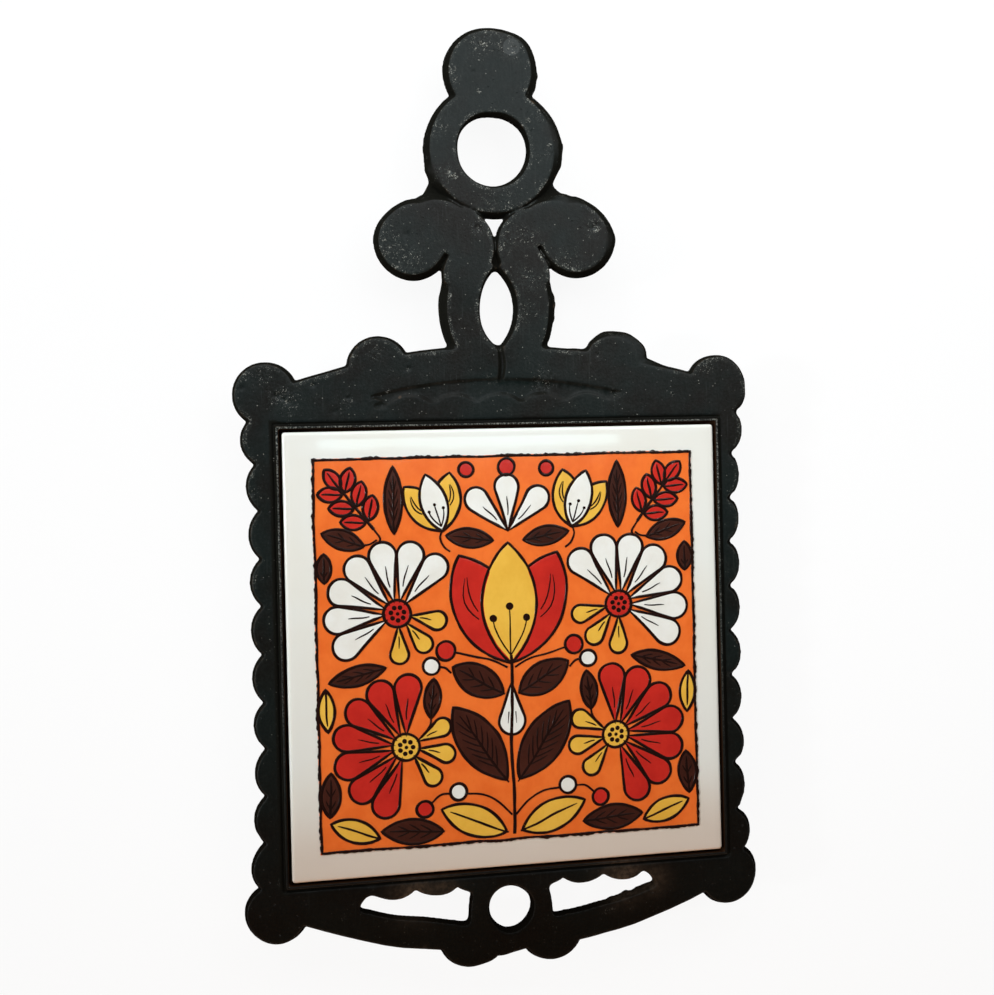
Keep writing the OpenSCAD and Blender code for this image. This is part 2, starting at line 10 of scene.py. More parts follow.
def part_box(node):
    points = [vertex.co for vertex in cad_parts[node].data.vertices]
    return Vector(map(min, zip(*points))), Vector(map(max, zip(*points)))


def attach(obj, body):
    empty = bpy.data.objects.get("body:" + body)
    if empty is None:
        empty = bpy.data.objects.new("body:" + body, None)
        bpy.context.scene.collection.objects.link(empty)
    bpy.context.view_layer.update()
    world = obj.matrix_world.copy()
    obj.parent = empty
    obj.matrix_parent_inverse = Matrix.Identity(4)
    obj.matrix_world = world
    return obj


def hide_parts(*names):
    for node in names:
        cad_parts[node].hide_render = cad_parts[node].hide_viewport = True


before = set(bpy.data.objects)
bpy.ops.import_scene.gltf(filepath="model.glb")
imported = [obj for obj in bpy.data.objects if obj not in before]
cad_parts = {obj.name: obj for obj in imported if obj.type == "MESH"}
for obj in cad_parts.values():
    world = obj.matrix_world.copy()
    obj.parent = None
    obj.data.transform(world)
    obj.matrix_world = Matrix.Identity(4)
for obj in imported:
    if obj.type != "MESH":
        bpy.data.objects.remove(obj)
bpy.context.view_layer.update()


# The camera hangs over the trivet, a little to the left of the handle's foot, as in the photo.
# Its place, turns and lens were worked out from the tile's corners and the handle's outline.
mm = 0.001
photo_size = (994, 995)
lens_px = 1304.4
optical_axis_px = (497.0, 460.7)
camera_turns = [math.radians(degrees) for degrees in (0.26, 10.39, 1.38)]
tile_seen_from_camera = Vector((4.06, -63.86, -446.29)) * mm
sensor_width = 36.0

tile_low, tile_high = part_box("tile")
tile_middle = Vector(((tile_low.x + tile_high.x) / 2, (tile_low.y + tile_high.y) / 2, tile_high.z))

turn_x, turn_y, turn_z = (
    Matrix.Rotation(angle, 4, axis) for angle, axis in zip(camera_turns, "XYZ"))
to_camera = Matrix.Translation(tile_seen_from_camera) @ turn_z @ turn_y @ turn_x

camera_data = bpy.data.cameras.new("photo_camera")
camera_data.sensor_fit = "HORIZONTAL"
camera_data.sensor_width = sensor_width
camera_data.lens = lens_px * sensor_width / photo_size[0]
camera_data.shift_x = (photo_size[0] / 2 - optical_axis_px[0]) / photo_size[0]
camera_data.shift_y = (optical_axis_px[1] - photo_size[1] / 2) / photo_size[0]
camera_data.clip_start = 0.01
camera_data.clip_end = 20.0
camera = bpy.data.objects.new("photo_camera", camera_data)
camera.matrix_world = Matrix.Translation(tile_middle) @ to_camera.inverted()
bpy.context.scene.collection.objects.link(camera)
bpy.context.scene.camera = camera


# The iron casting: border, rails, handle, bead, ledge and legs, poured in one piece in a sand
# mould. Its CAD skin is remeshed, its edges and inner corners are worn round, and the waves of
# the sand, blow holes, dents and ragged flash are pressed into it.
voxel_size = 0.36 * mm
edge_wear_passes = 4
casting_triangles = 192000
wave_size, wave_depth = 13 * mm, 0.20 * mm
ripple_size, ripple_depth = 2.6 * mm, 0.09 * mm
bead_height = 1.0 * mm
bead_foot_mm = 2.3
# Blow holes and knocks in the top face: across and up from the tile's middle, radius, depth
dent_sharpness, dent_reach = 1.5, 1.5 * mm
dents_mm = [
    (-74.9, 87.2, 1.3, 0.6), (-71.7, 84.9, 0.9, 0.45), (-73.1, 86.1, 0.8, 0.4), (-63.2, 90.7, 0.8, 0.45),
    (-51.6, 86.3, 0.7, 0.45), (-40.2, 83.7, 1.3, 0.6), (-42, 83.3, 0.9, 0.45), (-56.1, 81.7, 1.4, 0.25),
    (-86.7, 89.9, 0.9, 0.3), (-31, 95.8, 0.8, 0.45), (-43.5, 86.3, 0.6, 0.35), (7, 205.8, 2.6, 0.25),
    (7.8, 205.2, 0.7, 0.4), (-6.3, 197, 0.8, 0.3), (-3.3, 206.4, 1, 0.35), (17.9, 183.8, 1, 0.35),
    (19.2, 182, 0.8, 0.3), (-6.1, 143.6, 1.2, 0.4), (34.3, 143.9, 1.3, 0.4), (36, 145, 0.9, 0.35),
    (-30.7, 141.6, 1.4, 0.2), (13, 91.5, 1.2, 0.35), (17, 89.5, 1, 0.35), (40.7, 86.7, 0.9, 0.35),
    (74.4, 95.7, 1, 0.3), (35.2, 99.9, 0.8, 0.3), (-84, 54.5, 0.9, 0.3), (83, -22, 0.8, 0.3),
    (-30, -101, 0.9, 0.3), (62, -97, 0.9, 0.25),
]
# Metal that flares out below the face, ragged where the two halves of the mould met: place,
# radius, and the push across and up
flash_drop, flash_fade = 0.2 * mm, 1.5 * mm
ragged_radius = 4.0
tooth_size = 2.4 * mm
flash_mm = [
    (19.6, 119, 2.6, 0.9, 0.1), (19.9, 113.5, 2, 0.5, 0), (18.9, 124.5, 1.6, 0.4, 0),
    (15.6, 192, 2.2, 0.3, -0.2), (16.6, 196.5, 1.5, 0.5, 0), (23.4, 172, 3, 0.5, 0.2),
    (24, 166, 2.2, 0.5, -0.3), (52, 103, 2.5, 0.3, 0.5), (37.2, -92.2, 1.2, 0.1, 1.5),
    (40.5, -91.4, 1, 0, 0.6), (-13.9, -109, 3, 0, -0.2), (41.5, 141, 3, 0.4, 0),
    (36.8, -91.6, 1.1, 0, 1.3), (39, -91, 1.6, 0, 0.9), (42, -90.3, 2.2, 0, 1.2),
    (46.5, -88.8, 2.4, 0, 1.3), (50.5, -87, 2.2, 0, 1.2), (-23.5, 172, 7, -0.5, 0), (24.5, 170, 7, 0.5, 0),
    (-16.4, 200, 6, -0.4, 0), (21, 178, 10, 0.9, 0.5), (11, 207, 9, 0.8, 0.1), (27, 154, 8, 0.4, 0.3),
    (40, 139, 10, 0.9, -0.1), (8, 162, 8, -0.6, 0.3), (3, 182, 8, -0.2, -0.3), (49.8, 100.7, 5, 2, 1.1),
    (45.9, 105.3, 5, 0.7, 1.4), (37.9, 106.8, 5, -0.1, 1.2), (54.5, 96.4, 5, 0.9, 0.7),
    (-22.1, 157.2, 4, -1.5, 0.7), (-22.3, 162.3, 4, -1, 0), (-26.6, 154, 4, -0.6, 0.5),
    (22.5, 154.6, 4, 0.4, 0.9), (27.5, 154, 4, 0.2, 0.8), (19.4, 159.8, 4, 0.5, 0.3),
]
# Where the pattern's wall stood a little off: place, radius, and the push across and up. The
# wide ones leave the pocket of the tile alone, and none goes beyond the solid's box.
pocket_slip_radius = 7.0
box_gap = 0.05 * mm
pattern_slips_mm = [
    (13.4, 172, 7.5, -0.5, 0), (0, 183.5, 4, 0, -0.35), (-12.9, 170, 4, 0.3, 0),
    (-47.4, -80.3, 2, -0.5, -0.9), (0, 97, 6, 1.4, 0), (-5, -104, 5, 0.3, -1.2), (-11, 209, 10, -0.4, 0.1),
    (-16, 190, 10, -0.3, -0.2), (15, 193, 10, -0.2, 0.5), (-38, 151, 10, 0.9, -1), (-39, 132, 10, 0, -0.4),
    (-27, 127, 10, -0.3, -0.9), (27, 154, 8, 0.2, 0.4), (1, 128, 10, 0, -0.6), (-8, 119, 10, 0.9, -0.3),
    (5, 117, 8, -0.4, -0.1), (18, 122, 10, 0.5, 0.1), (16, 104, 10, 0.7, 0), (-57, 96, 10, -0.2, -0.4),
    (84, 96, 10, 0, 1), (68, 93, 10, -0.2, 1.3), (-86, 79, 10, -0.3, -0.3), (84, 79, 10, 1.1, 0.1),
    (-85, 63, 10, 0.1, 0.5), (82, 64, 10, 0.7, 0.9), (-85, 51, 10, 0.1, 0.5), (81, 48, 10, 1, 0.5),
    (82, 32, 10, 0.7, 0.4), (81, 18, 10, 0.8, 0.2), (-83, 2, 10, -0.1, -0.5), (81, 2, 10, 0.6, 0),
    (-83, -14, 10, 0, -0.8), (82, -11, 10, 0.5, -0.3), (-86, -33, 10, 0.3, -0.7), (83, -26, 10, 0.4, -0.2),
    (83, -40, 10, 0.9, -0.5), (-85, -47, 10, 0.1, -0.7), (-87, -63, 10, 0.4, -1), (82, -60, 10, 0.2, -0.9),
    (84, -75, 9, 0.8, -0.2), (-86, -75, 10, -0.1, -0.6), (-78, -94, 10, 0.2, -0.7),
    (-39, -83, 10, 0.5, -0.5), (-17, -82, 10, 0, -0.8), (4, -84, 10, -0.3, -0.4), (20, -83, 10, 0.2, -0.4),
    (-29, -92, 10, 0.2, 0.9), (-9, -92, 10, 0.4, 0.6), (14, -94, 10, 0, 1.1), (30, -91, 10, -0.1, 0.8),
    (55, -95, 10, 0.1, -0.4), (68, -90, 10, 0.1, -0.5), (-38, -100, 10, 0, -0.4),
    (24, -102, 10, 0.4, -0.8), (40, -99, 10, 0.2, -0.8), (10.5, 208, 5, 0.6, 0.5),
    (-4, -105, 6, 0.3, -0.9), (2.8, -104, 4, 0.2, -0.5), (84, -60, 4, 0, -0.8), (30.5, 103, 4, -0.3, 0.8),
]
# Inner corners that the sand left round: place and radius
soft_corners_mm = [
    (13.8, -82.6, 4), (15.4, -93.6, 4), (48.6, -81.2, 3.6), (51.6, -85, 4.2), (-13.8, -82.6, 4),
    (-15.4, -93.6, 4), (-48.6, -81.2, 3.6), (-51.6, -85, 4.2), (18.9, 123.5, 3.4), (-18.9, 123.5, 3.4),
    (18.6, 130.8, 2), (-18.6, 130.8, 2), (0, 140, 2.2), (0, 129.5, 2), (0, 103.8, 2), (22.5, 160.5, 2.6),
    (-22.5, 160.5, 2.6), (27.5, 153.8, 2.6), (-27.5, 153.8, 2.6), (16.6, 103.6, 2.4), (-16.6, 103.6, 2.4),
    (12.2, 192.5, 2.4), (-12.2, 192.5, 2.4), (86, 79.2, 2.6), (83.8, 64.6, 2.6), (83.1, 49.3, 2.6),
    (82.3, 33.3, 2.2), (82, 17.7, 2.2), (82, -13.3, 2.2), (82.7, -44.7, 2.6), (84.7, -58.7, 2.2),
    (-85.9, -60.1, 2.2), (-84.2, -30, 2), (30.5, 103, 2.6),
]
# Rubbed places with small bright scratches: place, radius, strength
worn_mm = [
    (-3.3, 206.4, 5, 0.9), (-13.8, 195.9, 3.6, 0.7), (12.6, 191.5, 3, 0.7), (7, 205.8, 4.2, 2),
    (-15.2, 162.2, 1.5, 1.7), (35, 143.6, 1.1, 1.6), (17.9, 183.8, 4.6, 0.9), (-17.4, 161.9, 4.2, 1),
    (-19.8, 177.4, 5, 0.8), (2, 150.8, 7.5, 0.9), (17.6, 168.9, 3.6, 0.5), (-37.3, 137, 6, 0.9),
    (-30.1, 131.5, 5.5, 0.9), (-38, 145, 4, 0.8), (-6.1, 143.6, 2.8, 1), (34.3, 143.9, 3.6, 1),
    (24.4, 131.7, 6, 0.8), (11.2, 141, 4.7, 0.8), (11.8, 126.1, 5, 1), (10.6, 115, 4, 0.9),
    (3.7, 140.9, 5, 0.9), (3, 107, 4, 0.6), (-41.8, 100.6, 2.8, 0.7), (-79.5, 95.5, 7, 0.5),
    (-53, 85.3, 3.4, 0.7), (15.7, 90.7, 4.6, 0.8), (40.7, 86.7, 3, 0.7), (74.4, 95.7, 4.2, 0.6),
    (-84, 54.5, 4, 0.5), (-72, 86, 6, 0.8), (35.2, 99.9, 3, 0.5), (58.5, 95.9, 3, 0.4),
]
# Nicks down to bright metal: place and radius
nicks_mm = [
    (35.9, 143.6, 1), (34.3, 142.6, 0.6), (-2, 206.3, 0.8), (-3.7, 206.9, 0.7), (-16, 162.4, 0.9),
    (-13.7, 161.1, 0.8), (-33.3, 131.1, 0.8), (-38.4, 139.4, 0.7), (-36.9, 135.2, 0.7), (19.7, 172.2, 0.8),
    (1.3, 136.4, 0.6), (-4.5, 190.1, 0.6), (-13.1, 193.6, 0.8), (-0.5, 150.3, 0.7), (61.6, 85.6, 0.7),
    (-38.2, 88.3, 0.7), (-31.2, 95.7, 0.7), (12.1, 180.8, 0.7), (-4.6, 184.7, 0.6), (8.8, 183.3, 0.6),
    (-72, 85.4, 0.7), (-63.5, 90.9, 0.6), (10.8, 134.1, 0.6), (8.2, 129.3, 0.6), (33.7, 134.1, 0.6),
    (6.2, 205.1, 0.5),
]
# Spots painted in shade by taking the satin away, on stems, rail and arch line: place, radius, strength
sheen_shade_mm = [
    (-12, 118, 11, 0.35), (11, 116, 10, 0.22), (0, 95, 15, 0.35), (0, 153, 8, 0.25),
    (0.5, 103.2, 1.1, 1.2), (0.6, 91.2, 1.5, 1.2), (3, 91.2, 1.1, 1.1), (5.4, 91, 1.2, 1.2),
    (7.8, 90.9, 1.3, 1.3), (10.2, 90.7, 1.3, 1.3), (12.6, 90.5, 1.2, 1.2), (15.2, 90.3, 1, 1.1),
    (18, 90.1, 0.9, 1), (21.6, 89.8, 1, 1.1), (24.4, 89.5, 1.1, 1.1), (27.2, 89.2, 1, 1), (30, 88.9, 1, 1),
    (33, 88.5, 0.9, 0.9), (38, 87.6, 1.2, 1.1), (40.4, 87.1, 1.2, 1.1), (-28, 86, 7, 0.16),
    (-12, 88, 7, 0.2), (4, 87.5, 7, 0.24), (19, 87, 7, 0.2), (33, 86, 6, 0.16),
]
# The groove between the feet of the handle's stems, painted in shade
seam_across, seam_width = 0.5 * mm, 0.9 * mm
# Brown bloom on the rail over the slots: place, radius, strength
bloom_mm = [
    (-33, -82.5, 7, 0.8), (-24, -81, 5, 0.5), (40, -82, 7.5, 0.8), (51, -84, 5, 0.5),
]
# How far down the face's brink goes, and how upright a wall's normal may be
brink_reach, wall_upright = 1.6 * mm, 0.7


def placed(name, data):
    """A new object in the scene."""
    piece = bpy.data.objects.new(name, data)
    bpy.context.scene.collection.objects.link(piece)
    return piece


def mended(mesh, merge=True, turn_out=False):
    """The mesh with its doubles merged or its faces turned outwards."""
    work = bmesh.new()
    work.from_mesh(mesh)
    if merge:
        bmesh.ops.remove_doubles(work, verts=work.verts, dist=0.001 * mm)
    if turn_out:
        bmesh.ops.recalc_face_normals(work, faces=work.faces)
    work.to_mesh(mesh)
    work.free()
    return mesh


def smooth(piece):
    piece.data.polygons.foreach_set("use_smooth", [True] * len(piece.data.polygons))
    return piece


def new_piece(name, verts, faces, merge=True, turn_out=False):
    """A smooth object from points and faces."""
    mesh = bpy.data.meshes.new(name)
    mesh.from_pydata(verts, [], faces)
    return smooth(placed(name, mended(mesh, merge, turn_out)))


def settled(piece):
    """The piece with its modifiers turned into plain mesh."""
    graph = bpy.context.evaluated_depsgraph_get()
    mesh = bpy.data.meshes.new_from_object(piece.evaluated_get(graph), depsgraph=graph)
    name = piece.name
    bpy.data.objects.remove(piece)
    mesh.name = name
    return placed(name, mesh)


def add_modifier(piece, name, kind, **settings):
    modifier = piece.modifiers.new(name, kind)
    for setting, value in settings.items():
        setattr(modifier, setting, value)
    return modifier


def use_tree(piece, tree, values):
    """The tree as a modifier on the piece, with its named inputs set."""
    modifier = add_modifier(piece, tree.name, "NODES", node_group=tree)
    for item in tree.interface.items_tree:
        if item.item_type == "SOCKET" and item.name in values:
            modifier[item.identifier] = values[item.name]


def new_tree(name, inputs):
    """Geometry Nodes with named inputs, the sockets of their start and their end node."""
    tree = bpy.data.node_groups.new(name, "GeometryNodeTree")
    tree.interface.new_socket("Geometry", in_out="INPUT", socket_type="NodeSocketGeometry")
    for label, kind in inputs.items():
        tree.interface.new_socket(label, in_out="INPUT", socket_type="NodeSocket" + kind)
    tree.interface.new_socket("Geometry", in_out="OUTPUT", socket_type="NodeSocketGeometry")
    return tree, tree.nodes.new("NodeGroupInput").outputs, tree.nodes.new("NodeGroupOutput")


def add_node(tree, kind, inputs=None, **settings):
    """A node with its settings, and with its inputs linked to sockets or set to values."""
    node = tree.nodes.new(kind)
    for setting, value in settings.items():
        setattr(node, setting, value)
    for name, value in (inputs or {}).items():
        if isinstance(value, bpy.types.NodeSocket):
            tree.links.new(value, node.inputs[name])
        else:
            node.inputs[name].default_value = value
    return node


def add_math(tree, operation, first, second):
    return add_node(tree, "ShaderNodeMath", {0: first, 1: second}, operation=operation).outputs[0]


def sand_skin_tree():
    """Geometry Nodes that press waves and ripples into a surface along its normals."""
    tree, start, end = new_tree("sand_skin", dict.fromkeys(
        ("Wave size", "Wave depth", "Ripple size", "Ripple depth"), "Float"))
    where = add_node(tree, "GeometryNodeInputPosition").outputs[0]
    normal = add_node(tree, "GeometryNodeInputNormal").outputs[0]
    heights = []
    for seed, kind in ((3.0, "Wave"), (4.0, "Ripple")):
        scale = add_math(tree, "DIVIDE", 1.0, start[kind + " size"])
        bumps = add_node(tree, "ShaderNodeTexNoise", {
            "Vector": where, "W": seed, "Scale": scale, "Detail": 2.0}, noise_dimensions="4D")
        sunk = add_math(tree, "SUBTRACT", bumps.outputs[0], 0.75)
        heights.append(add_math(tree, "MULTIPLY", sunk, start[kind + " depth"]))
    push = add_node(tree, "ShaderNodeVectorMath", {
        0: normal, "Scale": add_math(tree, "ADD", *heights)}, operation="SCALE")
    place = add_node(tree, "GeometryNodeSetPosition", {
        "Geometry": start["Geometry"], "Offset": push.outputs[0]})
    tree.links.new(place.outputs[0], end.inputs[0])
    return tree


def vectors(items, name):
    """A vector of every item, as rows of three numbers."""
    flat = np.empty(len(items) * 3)
    items.foreach_get(name, flat)
    return flat.reshape(-1, 3)


def flat_distances(points, across, up):
    """How far each point lies from a place on the casting, seen from above."""
    return np.hypot(points[:, 0] - across * mm, points[:, 1] - tile_middle.y - up * mm)


def near(points, across, up, radius, sharpness=1.0):
    """1 at a place on the casting, falling softly to 0 round it."""
    return np.exp(-(flat_distances(points, across, up) / (radius * mm)) ** 2 * sharpness)


def strongest(points, spots):
    """The strongest of some soft spots at each point."""
    share = np.zeros(len(points))
    for across, up, radius, strength in spots:
        share = np.maximum(share, strength * near(points, across, up, radius))
    return share


def tile_distances(points):
    """How far each point lies outside the tile's edge, in mm."""
    across = np.abs(points[:, 0] - tile_middle.x) - (tile_high.x - tile_middle.x)
    up = np.abs(points[:, 1] - tile_middle.y) - (tile_high.y - tile_middle.y)
    return np.maximum(across, up) / mm


def onset(values, start, width):
    """0 below the start and 1 from a width past it."""
    return np.clip((values - start) / width, 0, 1)


def mark(name, values):
    """Keeps a value for each point of the casting, for its paint to read."""
    casting.data.attributes.new(name, "FLOAT", "POINT").data.foreach_set("value", values)


casting = placed("iron_casting", mended(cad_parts["frame_casting"].data.copy()))
add_modifier(casting, "skin", "REMESH", mode="VOXEL",
             voxel_size=voxel_size)
add_modifier(casting, "wear", "SMOOTH", factor=0.5, iterations=edge_wear_passes)
casting = settled(casting)

points = vectors(casting.data.vertices, "co")
casting_low, casting_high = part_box("frame_casting")
face_z = casting_high.z - bead_height
for across, up, radius, depth in dents_mm:
    pressed = near(points, across, up, radius, dent_sharpness) * depth * mm
    points[:, 2] -= pressed * (points[:, 2] > face_z - dent_reach)
below_face = onset(-points[:, 2], flash_drop - face_z, flash_fade)
teeth = np.ones(len(points))
teeth = np.array([0.8 + 0.6 * noise.noise(Vector(point) / tooth_size) for point in points])
for across, up, radius, push_x, push_y in flash_mm:
    ragged = teeth if radius < ragged_radius else 1.0
    reach = near(points, across, up, radius) * below_face * ragged * mm
    points[:, :2] += np.outer(reach, (push_x, push_y))
pocket_share = onset(tile_distances(points), 3.5, 5.0)
for across, up, radius, push_x, push_y in pattern_slips_mm:
    reach = near(points, across, up, radius) * mm
    if radius > pocket_slip_radius:
        reach *= pocket_share
    points[:, :2] += np.outer(reach, (push_x, push_y))
for axis in (0, 1):
    points[:, axis] = np.clip(points[:, axis], casting_low[axis] + box_gap, casting_high[axis] - box_gap)
casting.data.vertices.foreach_set("co", points.ravel())
casting.data.update()

corner_group = casting.vertex_groups.new(name="soft_corners")
softness = np.zeros(len(points))
for across, up, radius in soft_corners_mm:
    softness = np.maximum(softness, 1 - flat_distances(points, across, up) / (radius * mm))
for index in np.nonzero(softness > 0.02)[0]:
    corner_group.add([int(index)], float(min(1.0, 1.6 * softness[index])), "REPLACE")
add_modifier(casting, "corners", "SMOOTH", vertex_group="soft_corners", use_z=False, factor=0.5,
             iterations=80)

use_tree(casting, sand_skin_tree(), {
    "Wave size": wave_size, "Wave depth": wave_depth,
    "Ripple size": ripple_size, "Ripple depth": ripple_depth})
add_modifier(casting, "thin", "DECIMATE",
             ratio=min(1.0, casting_triangles / (2.0 * len(casting.data.polygons))))
casting = smooth(settled(casting))

# What the paint follows: how rubbed each place is, how far it lies under the face and out from
# the tile, and the spots from the lists above. The step beside the bead is painted in shade, wider on the
# left.
points = vectors(casting.data.vertices, "co")
mark("worn", strongest(points, worn_mm))
mark("depth", (face_z - points[:, 2]) / mm)
rim = tile_distances(points)
wide_step_shade = (points[:, 0] < tile_low.x) & (rim > bead_foot_mm)
mark("rim", np.where(wide_step_shade, bead_foot_mm + 0.5 * (rim - bead_foot_mm), rim))
mark("nick", strongest(points, [(*nick, 1.0) for nick in nicks_mm]))
mark("bloom", strongest(points, bloom_mm))
mark("dull", strongest(points, sheen_shade_mm))
up = (points[:, 1] - tile_middle.y) / mm
# Painted shade along the groove between the feet of the stems
seam = np.exp(-((points[:, 0] - seam_across) / seam_width) ** 2)
mark("seam", seam * onset(up, 91, 1) * onset(-up, -104.5, 1.5))
relief = onset(up, 80, 2) * onset(-up, -93.5, 1.5)
mark("relief", relief * onset(-np.abs(points[:, 0]) / mm, -46, 3))

# How far each place on the face lies from the nearest edge
upright = vectors(casting.data.vertex_normals, "vector")[:, 2]
high_up = points[:, 2] > face_z - brink_reach
wall_points = np.nonzero(high_up & (upright < wall_upright))[0]
wall_tree = KDTree(len(wall_points))
for index in wall_points:
    wall_tree.insert(points[index], int(index))
wall_tree.balance()
brink = np.zeros(len(points))
for index in np.nonzero(high_up & (upright >= wall_upright))[0]:
    brink[index] = wall_tree.find(points[index])[2] / mm
mark("brink", brink)


class Finish:
    """A material and short ways to add nodes to it."""

    def __init__(self, name):
        self.material = bpy.data.materials.new(name)
        self.material.use_nodes = True
        self.tree = self.material.node_tree
        self.shader = self.tree.nodes["Principled BSDF"].inputs
        self.place = self.add("ShaderNodeTexCoord").outputs["Object"]

    def add(self, kind, inputs=None, **settings):
        return add_node(self.tree, kind, inputs, **settings)

    def noise(self, size, detail=2.0, rough=0.5, seed=0.0, stretch=None):
        """Cloudy noise from 0 to 1, with lumps of the given size in metres."""
        place = self.place
        if stretch:
            place = self.add("ShaderNodeMapping", {"Vector": place, "Scale": stretch}).outputs[0]
        return self.add("ShaderNodeTexNoise", {
            "Vector": place, "W": seed, "Scale": 1.0 / size, "Detail": detail, "Roughness": rough},
            noise_dimensions="4D").outputs[0]

    def cells(self, size, seed=0.0):
        """Distance to the nearest of scattered points, 0 at a point and about 1 far from it."""
        return self.add("ShaderNodeTexVoronoi", {
            "Vector": self.place, "W": seed, "Scale": 1.0 / size},
            voronoi_dimensions="4D").outputs["Distance"]

    def ramp(self, value, low, high, start=0.0, end=1.0):
        """The value's stretch from low to high, spread from start to end."""
        return self.add("ShaderNodeMapRange", {
            "Value": value, "From Min": low, "From Max": high, "To Min": start, "To Max": end},
            interpolation_type="SMOOTHSTEP").outputs[0]

    def times(self, product, *shares):
        for share in shares:
            product = add_math(self.tree, "MULTIPLY", product, share)
        return product

    def plus(self, first, second):
        return add_math(self.tree, "ADD", first, second)

    def most(self, largest, *values):
        for value in values:
            largest = add_math(self.tree, "MAXIMUM", largest, value)
        return largest

    def part(self, vector, letter):
        """The X, Y or Z of a vector."""
        return self.add("ShaderNodeSeparateXYZ", {0: vector}).outputs[letter]

    def mix(self, share, *colours):
        """A colour between two colours or colour sockets."""
        first, second = ((*colour, 1.0) if isinstance(colour, tuple) else colour for colour in colours)
        return self.add("ShaderNodeMix", {0: share, 6: first, 7: second}, data_type="RGBA").outputs[2]

    def bump(self, height, depth, under=None):
        """Bump of the given depth in metres over a height from 0 to 1."""
        node = self.add("ShaderNodeBump", {"Distance": depth, "Height": height})
        if under:
            self.tree.links.new(under, node.inputs["Normal"])
        return node.outputs[0]

    def attribute(self, name):
        return self.add("ShaderNodeAttribute", attribute_name=name).outputs["Fac"]

    def finish(self, colour, roughness, normal):
        for source, name in ((colour, "Base Color"), (roughness, "Roughness"), (normal, "Normal")):
            self.tree.links.new(source, self.shader[name])
        return self.material


def dress(piece, material, slot, *nodes):
    """Gives a finished piece its material and its body, and hides the CAD nodes that it stands for."""
    piece.data.materials.clear()
    piece.data.materials.append(material)
    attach(piece, "root")
    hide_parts(*nodes)


